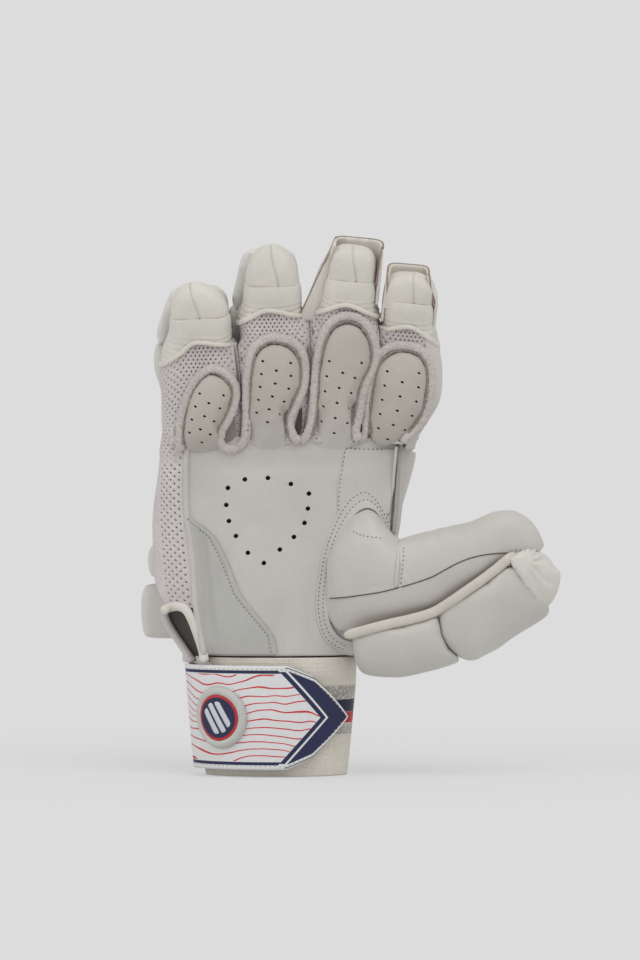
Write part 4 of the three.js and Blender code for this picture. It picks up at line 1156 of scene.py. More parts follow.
indexForm = {
    "foot": 131, "head": 164.4, "lift": 0.5,
    "left": [(131, -7.4), (145, -7.4), (164.4, -3.6)],
    "right": [(131, 19), (140, 20.4), (164.4, 23.2)],
}
palmTree = surfaceOf("palm_leather")


def frontSheet(name, form, tree, grid, levels, *materials, relief=None):
    # a sheet over the palm side, given by its left and right edges against height
    def place(u, v):
        z = form["foot"] + (form["head"] - form["foot"]) * v
        left, right = between(form["left"], z), between(form["right"], z)
        at = frontPoint(tree, left + (right - left) * u, z)
        at.y = min(at.y, -4 * mm) - form["lift"] * mm
        return at

    return sheet(name, grid, place, *materials, levels=levels, flip=True, relief=relief)


def palmRelief(at, normal):  # broad waves of soft leather, and the hollow below the fingers
    x, z = at.x / mm, at.z / mm
    wave = noise.noise(Vector((x * 0.025, 3.1, z * 0.02))) * 0.9 + noise.noise(Vector((x * 0.07, 7.7, z * 0.05))) * 0.35
    hollow = -0.9 * bell(z - 157 - 0.02 * x, 4.5) * smoothStep(-80, -60, x) * (1 - smoothStep(5, 20, x))
    crook = -0.6 * bell(x + 62 - 0.45 * (z - 105), 5) * smoothStep(70, 90, z) * (1 - smoothStep(120, 140, z))
    aside = x - between(palmForm["left"], z)
    fold = -2.4 * bell(aside - 5.5, 2.6) * smoothStep(62, 78, z) * (1 - smoothStep(112, 128, z))
    heelWave = bell(z - 78, 13) * (bell(x + 26, 4) * 1.1 - bell(x + 34, 4.5) * 0.8)
    return normal * ((wave + hollow + crook + fold + heelWave) * mm)


palm = frontSheet("palm_skin", palmForm, palmTree, (22, 22), 2, palmHide, holeShade, relief=palmRelief)
palmSkin = surfaceOf(palm)
closedWall(palm, palmForm["thick"])
spots = [(*struck(palmSkin, x, z), Vector((1, 0, 0.4))) for x, z in palmForm["holes"]]
cutHoles(palm, spots, holeRadius["palm"], 8, 1.05)
settle(palm, "hand", "leather", "palm_leather")


def heelRelief(at, normal):  # a folded hem along the inner edge and a hollow beside the side fold
    x, z = at.x / mm, at.z / mm
    inside = between(heelForm["right"], z) - x
    outside = x - between(heelForm["left"], z)
    hem = 0.45 * bell(inside - 1.3, 1.1) - 0.3 * bell(inside - heelForm["hem"], 0.5)
    rise = 0.5 * bell(outside - 10, 3)
    return normal * ((hem + rise * smoothStep(62, 80, z)) * mm)


heel = frontSheet("heel_grey_patch", heelForm, palmSkin, (16, 24), 2, patchHide, relief=heelRelief)
heelSkin = surfaceOf(heel)
settle(closedWall(heel, 0.9), "hand", "patch_leather", "heel_patch")
hemHeights = (61.8, 66, 71, 76, 81, 86, 91, 97, 103, 109, 115, 120, 124)
hemLine = [(between(heelForm["right"], z) - heelForm["hem"] * 1.15, z) for z in hemHeights]
stitchLine("hand", heelSkin, hemLine, "hem")

indexPatch = frontSheet("index_stitched_patch", indexForm, palmSkin, (12, 12), 1, palmHide)
indexSkin = surfaceOf(indexPatch)
settle(closedWall(indexPatch, 0.6), "hand", "leather", "index_patch")
patchSeam = [
    (15.9, 163.8), (9.9, 163.8), (2.9, 164.0), (-2.8, 164.0), (-4.1, 158.5), (-5.3, 151.5), (-6.3, 144.5),
    (-6.6, 138.5), (-6.6, 132.5),
]
stitchLine("hand", indexSkin, patchSeam, "patch")

# the rolled edge between palm and mesh, and the one round the vent below it
foldLine = [
    (-82.6, 165.5), (-83.1, 153.5), (-83.1, 138.5), (-82.3, 127.5), (-80.3, 113.5), (-79.3, 101.0),
    (-78.6, 88.5), (-77.1, 78.5), (-75.1, 67.5), (-73.8, 60.5),
]
sideTree = surfaceOf("palm_leather", "side_mesh", "side_edge_roll")


def onFront(tree, line, out, deepest):  # a line of x, z laid over a surface, nowhere deeper than deepest
    points = [frontPoint(tree, x, z) for x, z in line]
    return [Vector((at.x, min(at.y, deepest * mm) - out * mm, at.z)) for at in points]


foldCord = cordShape(onFront(palmSkin, foldLine, 0.3, -6), 1.5, 1.1, around=12, step=1.5, rough=0.1)
settle(addPiece("palm_edge_fold", foldCord, palmHide), "hand", "leather")
ventLine = [
    (-94.6, 83.0), (-91.6, 84.5), (-87.1, 85.2), (-83.1, 83.5), (-80.1, 78.5), (-77.3, 71.0), (-75.1, 64.0),
    (-73.6, 57.5),
]
ventCord = cordShape(onFront(sideTree, ventLine, 1.2, -2), 2.3, 1.9, around=14, step=1.2)
settle(addPiece("vent_rolled_edge", ventCord, creamHide), "hand", "cream_leather", "side_edge_roll")
ventBack = [(-94.8, -3.5, 85), (-94, -0.5, 79), (-91, 1.4, 73), (-86.8, 2, 66.5), (-82, 1.2, 59.5), (-79.6, 0, 56)]
backPoints = [Vector(p) * mm for p in ventBack]
backCord = cordShape(backPoints, 2.3, 2.0, face=(-1, -0.4, 0), around=12, step=1.2)
settle(addPiece("vent_back_edge", backCord, airMesh), "hand", "cream_leather")
frontTrail, backTrail = Trail(onFront(sideTree, ventLine, 0, -2)), Trail(backPoints)


def ventFloor(u, v):  # dark cloth inside the vent, painted shade of the hollow behind it
    at = frontTrail.at(0.04 + 0.96 * v).lerp(backTrail.at(0.03 + 0.97 * v), u)
    return at + Vector((1 + 3 * math.sin(math.pi * u), 2.5 - u, 0)) * mm


ventCloth = closedWall(sheet("vent_dark_lining", (8, 16), ventFloor, liningShadeCloth), 0.5, 1)
settle(ventCloth, "hand", "mesh")


def ventSide(u, v):  # a plain strip from the vent's back edge to the back panel
    at = backTrail.at(v)
    hit = handBack.ray_cast(Vector((-0.2, 0.0145, at.z)), Vector((1, 0, 0)))[0]
    end = Vector((hit.x + 0.001 if hit is not None else -0.086, 0.0155, at.z))
    return at.lerp(end, u) - Vector((1.5 * math.sin(math.pi * u), 0, 0)) * mm


ventStrip = closedWall(sheet("vent_side_strip", (8, 12), ventSide, airMesh), 0.6, 1)
settle(ventStrip, "hand", "mesh")

meshTree = surfaceOf("side_mesh", "palm_leather")
foldTable = sorted((z, x) for x, z in foldLine)


def foldAngle(z):  # where the mesh meets the palm's edge, seen from the middle of the hand
    at = frontPoint(palmSkin, between(foldTable, z) + 0.6, z) - handAxis.translation
    return math.degrees(math.atan2(min(at.y, -0.009), at.x)) % 360


def meshEnd(height):  # the last angle, going round to the back, at which the side mesh is there
    for degrees in range(188, 150, -1):
        if wrapPoint(meshTree, handAxis, (0, 0), degrees, height, strict=True) is None:
            return degrees + 2
    return 152


sideNetForm = {"foot": 84.5, "tall": 80.5, "share": 0.84, "swell": 4.0, "backEdge": (-87.6, 15), "hole": 0.74}


def sidePlace(u, v):  # the mesh strip on the little-finger side
    height, share = sideNetForm["foot"] + sideNetForm["tall"] * v, sideNetForm["share"]
    start, end, over = foldAngle(height), meshEnd(height), max(u - share, 0) / (1 - share)
    at = wrapPoint(meshTree, handAxis, (0, 0), start - (start - end) * min(u / share, 1), height, 0.15)
    swell = sideNetForm["swell"] * smoothStep(165, 125, height) * smoothStep(84, 100, height)
    # behind the holes it stands out a little
    at.x -= swell * smoothStep(0.26, 0.46, u) * (1 - smoothStep(0.75, 1, u)) * mm
    return at.lerp(Vector((*sideNetForm["backEdge"], height)) * mm, over)  # the last strip runs to the back panel


sideShape = netShape(24, 44, sidePlace, sideNetForm["hole"], margin=(2, 17))
settle(closedWall(addPiece("side_air_mesh", sideShape, airMesh), meshForm["wall"]), "hand", "mesh", "side_mesh")

shellTree = surfaceOf("palm_leather", "side_mesh", "back_panel", "index_side")


def liningPlace(u, v):  # a dark lining a little inside the whole hand, painted shade of the hollow inside
    height = 58 + 106 * v
    at = wrapPoint(shellTree, handAxis, (8 * v, 0), 360 * u, height)
    arm = Vector((handAxis.translation.x + 0.008 * v, handAxis.translation.y, at.z)) - at
    return at + arm.normalized() * (3.6 * mm)


liningShape = joined(gridShape(36, 20, liningPlace))
for turn in range(4):
    relax(liningShape, liningShape.verts)
settle(closedWall(addPiece("hand_lining", liningShape, liningShadeCloth), 0.5), "hand", "mesh")
# the back panel and the hand rolls use the lightened roll leather: painted light
settle(remeshed("back_skin", "back_panel", rollLitHide, 1.3, 4), "hand", "leather", "back_panel")


def sidePanelPlace(u, v):
    z, turn = sideForm["foot"] + sideForm["tall"] * v, sideForm["turn"]
    front, outer, back, depth = (between(sideForm[key], z) for key in ("front", "outer", "back", "depth"))
    depth += (sideForm["backDepth"] - depth) * u
    if u < turn:
        x = front + (outer - front) * smoothStep(0, turn, u)
    else:
        x = outer + (back - outer) * ((u - turn) / (1 - turn)) ** 2
    return Vector((x, depth, z)) * mm


sidePanel = sheet("index_side_skin", (14, 20), sidePanelPlace, thumbHide, levels=2)
settle(closedWall(sidePanel, 1.4), "hand", "leather", "index_side")
handRolls = {
    "wrist_bar_lower": "lower_wrist_roll", "wrist_bar_upper": "upper_wrist_roll",
    "back_roll_little": "little_hand_roll", "back_roll_ring": "ring_hand_roll",
    "back_roll_middle": "middle_hand_roll", "back_roll_index": "index_hand_roll",
}


def sloped(at, normal):  # the index roll's outer side follows the side of the hand
    return Vector((-(0.003 + 0.3 * (0.165 - at.z)) * smoothStep(0.014, 0.036, at.x), 0, 0))


def longer(at, normal):  # the lower wrist roll's end stands out past the side of the hand
    return Vector((-0.0035 * smoothStep(-0.06, -0.09, at.x), 0, 0))


for node, title in handRolls.items():
    roll = softCopy(title, node, rollLitHide, *rollSizes["hand"])
    if node == "back_roll_index":
        moved(roll, sloped)
    if node == "wrist_bar_lower":
        moved(roll, longer)
    settle(roll, "hand", "leather", node, padded=0.85)

pipingLine = [(25.4, 168.5), (24.4, 165.0), (23.7, 159.5), (23.2, 152.5), (22.7, 142.5), (21.7, 130.0), (20.7, 120.5)]
# the groove cord is dark: painted shade in the groove beside the piping
for title, aside, wide, out, cloth in (
    ("index_side_piping", 0, 1.1, 0.9, pipingGrey), ("index_side_groove", -1.5, 0.7, 0.7, grooveShade),
):
    line = onFront(palmSkin, [(x + aside, z) for x, z in pipingLine], out, -11)
    piping = addPiece(title, cordShape(line, wide, around=10, step=1.2, rough=0.15), cloth)
    settle(piping, "hand", "towelling")
print("hand ready")

# thumb

thumbForm = {
    "stations": [  # x, lowest and highest point, half depth
        (-12.6, 80, 105, 3.2), (-9.5, 73, 107, 7.4), (-5, 72.5, 109, 10.4), (-0.5, 72.5, 110.5, 12.7),
        (4, 73.6, 112, 14.9),
        (8.5, 74.8, 113.5, 16.4), (12.5, 75.8, 114.5, 17.4), (16.5, 76.8, 116, 18.1), (20.5, 77.8, 117.6, 18.5),
        (24.2, 78.6, 119, 19), (33.8, 80.8, 122, 19), (43.4, 84.3, 124.3, 19), (59, 95, 128, 18),
        (71, 103, 133.2, 16), (80, 107.4, 133.8, 14), (87, 108.4, 130.6, 12), (92, 109.8, 125.2, 9.5),
        (95.6, 111.6, 120.6, 6),
    ],
    "saddle": [  # x, lowest and highest point, front, back
        (-12.6, 80, 109, -18.8, -15.9), (-9.5, 73, 117, -23.3, -15.9), (-5, 72.5, 124, -26.6, -15.5),
        (-0.5, 72.5, 130, -29.3, -14.9),
        (4, 73.6, 133.6, -31.8, -11.9), (8.5, 74.8, 134.8, -33.6, -8.9), (12.5, 75.8, 133, -34.8, -6.9),
        (16.5, 76.8, 127.6, -35.7, -4.9),
        (20.5, 77.8, 121.6, -36.2, -4.3), (24, 78.6, 119, -36.7, -3.9),
    ],
    "seam": [
        (-13.1, 89.4), (-3.6, 90.2), (4.9, 91.5), (13.9, 93.0), (21.9, 95.0), (30.4, 97.5), (38.9, 100.5),
        (45.4, 104.0), (51.9, 107.5), (58.4, 110.0), (64.9, 111.5), (71.4, 112.2), (76.9, 112.5),
    ],
    "binding": [
        (-4.6, 71.5), (-0.1, 72.5), (8.9, 75.0), (17.4, 77.2), (28.9, 79.8), (39.9, 83.2), (48.9, 88.8),
        (56.4, 94.0), (63.9, 99.2), (70.9, 104.5), (76.9, 109.5), (81.4, 112.0),
    ],
    "fold": 43.45,
}
thumbTree = surfaceOf("thumb_sleeve", "thumb_tip_sleeve", "thumb_saddle")


def thumbDepth(x):  # the middle of the thumb, front to back
    return -19.3 - 0.08 * (x - thumbForm["fold"])


def tableRow(table, x):  # the other columns of a table, read at its first
    return [between([(row[0], row[k]) for row in table], x) for k in range(1, len(table[0]))]


def sleevePlace(u, v):
    x = -12.6 + 108 * v ** 0.95
    low, high, deep = tableRow(thumbForm["stations"], x)
    close = math.sqrt(max(0, 1 - ((v - 0.96) / 0.04) ** 2)) if v > 0.96 else 1
    y, rise = squareOval(2 * math.pi * u, (high - low) / 2 * close + 0.1, deep * close + 0.1)
    return Vector((x, thumbDepth(x) + y, (low + high) / 2 + rise)) * mm


def saddlePlace(u, v):
    x = -12.6 + 36.2 * v
    low, high, front, back = tableRow(thumbForm["saddle"], x)
    angle = math.pi * (0.46 + 1.08 * u)
    y, rise = squareOval(angle, (high - low) / 2, back - front, 2.6)
    return Vector((x, back + y, (low + high) / 2 + rise)) * mm


def seamHeight(x):
    return between(thumbForm["seam"], x)


def twoTone(piece):  # the part below the seam is the second material
    for face in piece.data.polygons:
        centre = face.center / mm
        face.material_index = 1 if centre.z < seamHeight(centre.x) else 0


def thumbCrumple(at, normal):  # soft folds: a little everywhere, more near the fold on the upper side
    x, z = at.x / mm, at.z / mm
    wave = noise.noise(Vector((x * 0.05, at.y * 40, z * 0.06))) * 0.55
    near = bell(x - thumbForm["fold"], 9) * smoothStep(112, 126, z)
    return normal * ((wave + near * math.sin(x * 0.9) * 0.12) * mm)


def lowerFade(at, normal):  # below the seam the saddle runs in under the sleeve
    x, z = at.x / mm, at.z / mm
    return normal * (-2.2 * smoothStep(0, 3, seamHeight(x) - z) * mm)


thumbSpans = {"swing": ((-0.014, 0, 0.1), (0.006, 0, 0.1)), "fold": ((0.036, 0, 0.1), (0.051, 0, 0.1))}
bindingSpan = ((0.040, 0, 0.1), (0.047, 0, 0.1))
thumbSkin = addPiece("thumb_sleeve_skin", joined(gridShape(20, 28, sleevePlace)), thumbHide, thumbLowerHide)
moved(applied(subdivide(thumbSkin, 3)), thumbCrumple)
twoTone(thumbSkin)
sleeveSkin = surfaceOf(thumbSkin)
hides = (thumbHide, thumbLowerHide)
saddle = sheet("thumb_saddle_skin", (14, 12), saddlePlace, *hides, levels=3, flip=True, relief=thumbCrumple)
moved(saddle, lowerFade)
twoTone(saddle)
saddleSkin = surfaceOf(saddle)
closedWall(saddle, 1.4)


def seamCord(title, skin, line, wide, thick, out, material):  # a cord along a line of the thumb's front
    trail = Trail(line)
    count = int(trail.length / 1.6)
    hits = [struck(skin, at.x, at.z)[0] for at in (trail.at(k / count) for k in range(count + 1))]
    points = [hit - Vector((0, out * mm, 0)) for hit in hits if hit is not None]
    return addPiece(title, cordShape(points, wide, thick, around=8, step=1.2), material)


crossing(saddle, "hand", "thumb_base", *thumbSpans["swing"], "leather", "thumb_saddle")
crossing(thumbSkin, "thumb_base", "thumb_tip", *thumbSpans["fold"], "leather", "thumb_sleeve", "thumb_tip_sleeve")
thumbOuter = surfaceOf(saddle, thumbSkin)
seamSaddle = [at for at in thumbForm["seam"] if at[0] < 23.2] + [(23.6, seamHeight(23.6))]
seamSleeve = [(23.4, seamHeight(23.4))] + [at for at in thumbForm["seam"] if at[0] > 24]
for title, line, first, second, joint in (
    ("saddle_seam_thread", seamSaddle, "hand", "thumb_base", "swing"),
    ("sleeve_seam_thread", seamSleeve, "thumb_base", "thumb_tip", "fold"),
):
    thread = seamCord(title, thumbOuter, line, 0.3, 0.3, 0.08, darkThread)
    crossing(thread, first, second, *thumbSpans[joint], "leather")
sleeveSeam = [(23.2, 118.0), (22.9, 112.5), (22.4, 106.5), (21.9, 100.5), (21.4, 95.0)]
joinCord = seamCord("sleeve_joining_seam", thumbTree, sleeveSeam, 0.9, 0.7, 0.1, thumbHide)
settle(joinCord, "thumb_base", "leather")
sleeveStitches = [(25.4, 115.5), (25.2, 110.5), (24.7, 105.5), (24.2, 100.5), (23.9, 96.5)]
stitchLine("thumb_base", sleeveSkin, sleeveStitches, "seam")
stitchLine("thumb_tip", sleeveSkin, [(79.9, 114.0), (83.9, 113.8), (87.9, 113.5), (91.9, 113.5)], "thumbTip")
rollSplit = {  # how far the two ends at the split move across, against height
    "base": [(50, 8), (55, 9.5), (60, 7.5), (65, 3.4), (72, 1), (83, 0)],
    "tip": [(57, 6), (60, 2.6), (64, -1), (72, -4), (84, -4)],
}
baseRoll = softCopy("thumb_lower_roll", "thumb_base_roll", thumbRollShadedHide, *rollSizes["thumb"])


def baseLean(at, normal):  # the split between the rolls leans, and the roll starts close to the wrist
    x, z = at.x / mm, at.z / mm
    right = smoothStep(22, 45, x)
    aside = between(rollSplit["base"], z) * right - 6 * (1 - smoothStep(5, 20, x))
    return Vector((aside, 0, 3.6 * right * (1 - smoothStep(50, 66, z)))) * mm


moved(baseRoll, baseLean)
settle(baseRoll, "thumb_base", "leather", "thumb_base_roll", padded=0.85)
tipRoll = softCopy("thumb_outer_roll", "thumb_tip_roll", thumbRollShadedHide, *rollSizes["thumb"])


def tipLean(at, normal):
    x, z = at.x / mm, at.z / mm
    aside = between(rollSplit["tip"], z) * (1 - smoothStep(46, 70, x)) + 4.5 * smoothStep(76, 94, x)
    return Vector((aside, 0, 0)) * mm


moved(tipRoll, tipLean)
settle(tipRoll, "thumb_tip", "leather", "thumb_tip_roll", padded=0.85)
bindingTrail = Trail(thumbForm["binding"])
bindingLine = [(at.x, at.z) for at in (bindingTrail.at(k / 80) for k in range(81))]
bindingTree = surfaceOf(thumbSkin, saddle, baseRoll, tipRoll)
sides = ((0, 0), (1, -2.8), (-1, 2.8))  # on the line, and below and above it
beside = [onFront(bindingTree, [(x + a, z + b) for x, z in bindingLine], 0, -14) for a, b in sides]
bindingPoints = [Vector((at.x, min(at.y, low.y, high.y) - 0.0002, at.z)) for at, low, high in zip(*beside)]
for turn in range(10):  # an even run over the valley between sleeve and rolls
    for a, b, c in zip(bindingPoints, bindingPoints[1:], bindingPoints[2:]):
        b.y = min(b.y, (a.y + b.y + c.y) / 3)
bindingShape = cordShape(bindingPoints, 2.5, 1.5, around=14, step=1.2, ends=2.0)
binding = addPiece("thumb_cream_binding", bindingShape, bindingHide)
crossing(binding, "thumb_base", "thumb_tip", *bindingSpan, "cream_leather", "thumb_binding", "thumb_tip_binding")

cap = applied(subdivide(remeshed("thumb_gathered_cap", "thumb_tip_cap", capHide, 1.1, 16), 1))
pinch = Vector((84.9, -36, 109.5)) * mm


def pleats(at, normal):  # gathers that run out from the pinch
    arm = at - pinch
    angle = math.atan2(arm.z, arm.x) + 0.25 * noise.noise(at * 90)
    far = math.hypot(arm.x, arm.z) / mm
    depth = smoothStep(1.5, 7, far) * (1 - smoothStep(12, 26, far)) * (0.25 + 0.75 * smoothStep(-2, 5, arm.x / mm))
    return normal * ((math.sin(angle * 11) * 0.65 + math.sin(angle * 19 + 1) * 0.25) * depth * mm)


moved(cap, lambda at, normal: normal * 0.0008 + Vector((-2, -0.8, 0)) * mm)  # it overlaps the roll and the sleeve
moved(cap, pleats)
settle(cap, "thumb_tip", "cream_leather", "thumb_tip_cap", padded=0.7)

flangeForm = {  # the stitched border of the thumb hole: its outer and inner edges
    "outer": [
        (20.9, 123.0), (17.9, 129.5), (14.4, 136.0), (9.9, 142.0), (5.9, 144.5), (0.4, 142.0), (-4.6, 136.5),
        (-8.6, 129.0), (-12.1, 120.5), (-15.1, 110.5), (-17.1, 99.5), (-18.3, 86.5), (-16.8, 75.5),
        (-13.1, 67.5), (-6.1, 63.0), (0.9, 61.0),
    ],
    "inner": [
        (20.4, 118.5), (16.9, 123.5), (14.9, 129.0), (11.9, 133.0), (7.9, 134.8), (3.9, 133.5), (-0.1, 129.5),
        (-3.6, 124.0), (-6.6, 118.0), (-9.1, 110.5), (-10.8, 101.0), (-11.8, 91.0), (-12.1, 82.0),
        (-10.1, 74.5), (-4.6, 68.5), (2.4, 67.0),
    ],
}
outerTrail, innerTrail = Trail(flangeForm["outer"]), Trail(flangeForm["inner"])


def flangePlace(u, v):
    at = outerTrail.at(u).lerp(innerTrail.at(u), v)
    x, z = at.x, at.z
    depth = min(frontPoint(palmSkin, x, z).y, -9 * mm)
    return Vector((x * mm, depth - (0.6 + 1.5 * smoothStep(0.5, 1, v)) * mm, z * mm))


flange = sheet("thumb_hole_border", (40, 5), flangePlace, palmHide, levels=2, flip=True)
flangeSkin = surfaceOf(flange)
settle(closedWall(flange, 1.0), "hand", "leather")
for share in (0.22, 0.6):
    line = [outerTrail.at(k / 24).lerp(innerTrail.at(k / 24), share) for k in range(1, 24)]
    stitchLine("hand", flangeSkin, [(p.x, p.z) for p in line], "seam")
stitchLine("thumb_base", saddleSkin, [(-0.1, 123.0), (4.9, 121.0), (9.9, 120.2), (14.9, 119.5)], "seam")
print("thumb ready")

# cuff and strap

cuffForm = {
    "middle": (-38.05, 2.703), "height": 60.0, "wall": 3.0, "foot": 0.3, "tall": 59.4, "rib": (0.1, 2.1), "slack": 0.35,
    "hem": (35.5, 19.5), "top": (41.0, 21.0),
    "stripes": [(45.5, 39.0, "grey"), (38.5, 32.2, "navy"), (32.2, 26.5, "red"), (26.0, 21.0, "grey")],
}
strapForm = {  # angles are degrees round the cuff
    "anchor": (70, 183.6), "tab": (184.6, 324), "bend": (277, 294), "lift": 2.3, "thick": 2.0, "middle": 30.0,
    "half": 26.0, "shoulder": 20.5, "badge": (231, 19, 14.5),
    "chevron": (298.8, 274.4, 21),  # angles of its point and its ends, and half its height
    "field": 21.6, "rails": (22.0, 23.6), "stroke": (-0.05, 2.5), "strokeHalf": 22.9, "border": 3.7,
    "borderLines": (0.85, 1.35, 2.55),  # from the edge
}


def cuffSize(z, out):  # half sizes of the cuff's oval at a height
    share = max(z / cuffForm["height"], 0) ** 0.8
    return [low + (high - low) * share + out for low, high in zip(cuffForm["hem"], cuffForm["top"])]


def cuffPoint(degrees, z, out):  # a point round the cuff, out mm off it
    wide, deep = cuffSize(z, out)
    angle = math.radians(degrees)
    x, y = cuffForm["middle"]
    return Vector((x + wide * math.cos(angle), y + deep * math.sin(angle), z)) * mm


def cuffOf():
    material, shader, place = newMaterial("cuff_towelling", 0.92, Sheen_Weight=0.35, Sheen_Roughness=0.5)
    fuzz = noiseOf(stretched(place, (0.8, 0.8, 1.3)), 1000, 4, 0.65)
    soft = noiseOf(place, 70, 3)
    level = heightOf(place) + (fuzz - 0.5) * 0.0022
    cream, blur = linear(226, 220, 208), 0.0004
    dyes = {"grey": linear(160, 157, 150), "navy": linear(24, 30, 66), "red": linear(186, 34, 24)}
    skin = (fuzz * 0.6 + soft * 0.4).ramp(0.3, 0.7).tint(shaded(cream, 0.88), shaded(cream, 1.06))
    for top, foot, finish in cuffForm["stripes"]:
        inside = level.band(foot * mm - blur, top * mm - blur, 2 * blur)
        if finish == "grey":
            inside = inside * fuzz.ramp(0.42, 0.52)
        skin = inside.tint(skin, dyes[finish])
    rows = place.add(
        "ShaderNodeTexWave", {"bands_direction": "Z", "wave_profile": "SIN"},
        {"Vector": place, "Scale": 260, "Distortion": 1.5, "Detail": 2},
    )
    connect(shader, Base_Color=skin, Normal=bumped(rows * 0.1 + fuzz * 0.9, 0.0006, 0.6))
    return material


def cuffPlace(u, v):
    z = cuffForm["foot"] + cuffForm["tall"] * v
    rib = cuffForm["rib"][0] * math.sin(z * 2 * math.pi / cuffForm["rib"][1])
    around = (math.cos(2 * math.pi * u) * 3, math.sin(2 * math.pi * u) * 3)
    return cuffPoint(360 * u, z, rib + cuffForm["slack"] * noise.noise(Vector((*around, z * 0.06))))


cuffPiece = addPiece("towel_cuff", joined(gridShape(120, 84, cuffPlace)), cuffOf())
settle(closedWall(cuffPiece, cuffForm["wall"]), "hand", "cuff_knit", "cuff_band")

arcAt, run = {}, 0.0  # the same by whole degrees
for degrees in range(61, 341):
    here, last = (cuffPoint(turn, 30, strapForm["lift"]) for turn in (degrees, degrees - 1))
    run += (here - last).length / mm
    arcAt[degrees] = run


def arcLength(degrees):  # mm along the strap
    low = int(math.floor(degrees))
    return arcAt[low] + (arcAt[low + 1] - arcAt[low]) * (degrees - low)


def strapHalf(degrees):  # half the strap's height
    first, second = strapForm["bend"]
    table = [(first, strapForm["half"]), (second, strapForm["shoulder"]), (strapForm["tab"][1], 0.8)]
    return between(table, degrees)


def mark(piece, **marks):  # values that a material reads, one for each point
    for key, values in marks.items():
        piece.data.attributes.new(key, "FLOAT", "POINT").data.foreach_set("value", values)


def marked(place, key):
    return place.add("ShaderNodeAttribute", {"attribute_name": key}, out="Fac")


def strapOf():
    material, shader, place = newMaterial("printed_strap", 0.42)
    along, rise, edge = (marked(place, key) for key in ("strapAlong", "strapRise", "strapEdge"))
    grain, ripple = noiseOf(place, 700, 3), noiseOf(place, 55, 1)
    white, navy, red = linear(226, 226, 226), linear(24, 31, 74), linear(204, 36, 42)
    tall = abs(rise - strapForm["middle"])
    point, ends, half = strapForm["chevron"]
    front = arcLength(point)
    slope = (front - arcLength(ends)) / half
    ahead = along + tall * slope - front  # distance past the chevron's inner edge
    body = 1 - ahead.ramp(-0.15, 0.05)
    wave = rise * 0.22 + (along * 0.085).math("SINE") * 0.6 + (along * 0.041 + rise * 0.07).math("SINE") * 0.8
    wave = (wave + ripple * 2.2).math("FRACT")
    line = 1 - abs(wave - 0.5).ramp(0.06, 0.095)
    field = body * (1 - tall.ramp(strapForm["field"], strapForm["field"] + 0.2))
    inner = ahead.band(*strapForm["stroke"]) * (1 - tall.step(strapForm["strokeHalf"]))
    low, high, inside = strapForm["borderLines"]
    outer = ahead.step(strapForm["border"]) * (edge.step(inside) + edge.band(low, high))
    rails = body * tall.band(*strapForm["rails"])
    skin = (line * field).tint(white, red)
    dark = (inner + outer + rails).math("MINIMUM", 1.0)
    skin = dark.tint(skin, navy)
    tone = grain.ramp(0.3, 0.7)
    inputs = {0: 1.0, 6: skin, 7: tone.tint((0.95, 0.95, 0.95), (1, 1, 1))}
    worn = tone.add("ShaderNodeMix", {"data_type": "RGBA", "blend_type": "MULTIPLY"}, inputs, out=2)
    connect(shader, Base_Color=worn, Roughness=grain * 0.14 + 0.36, Normal=bumped(grain, 0.0002, 0.25))
    return material


strapFace = strapOf()


def strapMarks(piece):  # how far along, how high and how far from the edge each point is
    x0, y0 = cuffForm["middle"]
    along, rise, edge = [], [], []
    for vertex in piece.data.vertices:
        x, y, z = vertex.co / mm
        wide, deep = cuffSize(z, strapForm["lift"])
        degrees = math.degrees(math.atan2((y - y0) / deep, (x - x0) / wide)) % 360
        degrees = min(max(degrees, 62), 338)
        along.append(arcLength(degrees))
        rise.append(z)
        edge.append(strapHalf(degrees) - abs(z - strapForm["middle"]))
    mark(piece, strapAlong=along, strapRise=rise, strapEdge=edge)


def strapPiece(name, ends, columns, out):  # a stretch of the strap with a welt along its edges
    def place(u, v):
        degrees = ends[0] + (ends[1] - ends[0]) * u
        half = strapHalf(degrees)
        side = 2 * v - 1
        welt = 0.35 * bell(abs(side) * half - (half - 0.9), 0.7)
        return cuffPoint(degrees, strapForm["middle"] + side * half, out + welt)

    piece = closedWall(sheet(name, (columns, 40), place, strapFace), strapForm["thick"])
    strapMarks(piece)
    return piece


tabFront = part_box("strap_tab")[0].y / mm  # the strap lies as far out as its CAD tab
strapOut = -tabFront + cuffForm["middle"][1] - cuffSize(strapForm["middle"], 0)[1]
tab = settle(strapPiece("strap_tab_face", strapForm["tab"], 110, strapOut), "strap", "strap_face", "strap_tab")
tabSkin = surfaceOf(tab)
anchor = strapPiece("strap_anchor_face", strapForm["anchor"], 80, 2.4)
settle(anchor, "hand", "strap_face", "strap_anchor")
tabStart, tabEnd = strapForm["tab"]
for side in (-1, 1):
    line = []
    for k in range(30):
        degrees = tabStart + 3 + (tabEnd - tabStart - 8) * k / 29
        line.append(cuffPoint(degrees, strapForm["middle"] + side * (strapHalf(degrees) - 1.9), strapOut + 0.2))
    stitchLine("strap", tabSkin, line, "strap", paleThread)


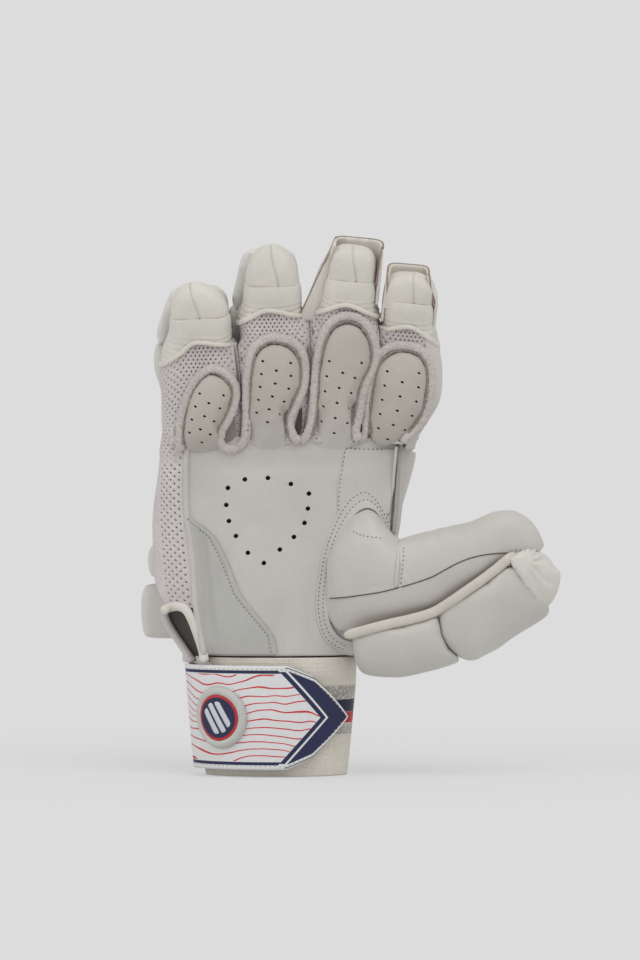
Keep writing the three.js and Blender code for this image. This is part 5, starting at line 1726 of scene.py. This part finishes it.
def badgeOf():
    material, shader, place = newMaterial("badge_rubber", 0.45)
    ring, bar = marked(place, "badgeRing"), marked(place, "badgeBar")
    grain = noiseOf(place, 900, 2)
    rim, red, navy, pale = linear(194, 194, 190), linear(190, 36, 40), linear(26, 33, 72), linear(205, 208, 214)
    skin = bar.ramp(0.45, 0.55).tint(navy, pale)
    skin = ring.ramp(0.69, 0.70).tint(skin, red)
    skin = ring.ramp(0.78, 0.79).tint(skin, rim)
    connect(shader, Base_Color=skin, Roughness=grain * 0.15 + 0.36, Normal=bumped(grain, 0.0002, 0.3))
    return material


badgeMiddle, badgeAngle, badgeHeight = strapForm["badge"]


def badgeBars(across, up):  # three plain slanting bars
    slant = across * 0.8 + up * 0.45
    inside = 1 - smoothStep(0.5, 0.56, math.hypot(across, up))
    return inside * max(1 - smoothStep(0.05, 0.08, abs(slant - middle)) for middle in (-0.26, 0, 0.26))


def badgePlace(u, v):
    out, angle = discShares(u, v)
    degrees = badgeMiddle + badgeAngle * out * math.cos(angle)
    z = strapForm["middle"] + badgeHeight * out * math.sin(angle)
    bump = 1.5 * smoothStep(1.0, 0.95, out) if out > 0.95 else 1.5
    rim = 0.5 * bell(out - 0.91, 0.06) - 0.35 * bell(out - 0.8, 0.05)
    raised = 0.4 * badgeBars(out * math.cos(angle), out * math.sin(angle))
    return cuffPoint(degrees, z, strapOut + bump + rim + raised + 0.3 * (1 - out))


badgeCells = 56
badge = addPiece("oval_badge", gridShape(badgeCells, badgeCells, badgePlace), badgeOf())
rings, bars = [], []
for number in range(len(badge.data.vertices)):
    row, column = divmod(number, badgeCells + 1)
    out, angle = discShares(column / badgeCells, row / badgeCells)
    rings.append(out)
    bars.append(badgeBars(out * math.cos(angle), out * math.sin(angle)))
mark(badge, badgeRing=rings, badgeBar=bars)
if badge.data.polygons[len(badge.data.polygons) // 2].normal.y > 0:
    badge.data.flip_normals()
settle(closedWall(badge, 1.2), "strap", "badge_rubber", "strap_badge")

hookPile = fabricOf("hook_pile", linear(232, 231, 228), 0.0007, 1.0)
for node, body in (("loop_pad", "hand"), ("hook_pad", "strap")):
    settle(remeshed(node + "_pile", node, hookPile, 0.45, 2), body, "hook_loop", node)
print("cuff and strap ready")

# collected stitches become one piece for each body and thread

for (body, thread), (shape, material) in stitchShapes.items():
    settle(addPiece(body + "_stitches_" + thread, shape, material), body, "leather")
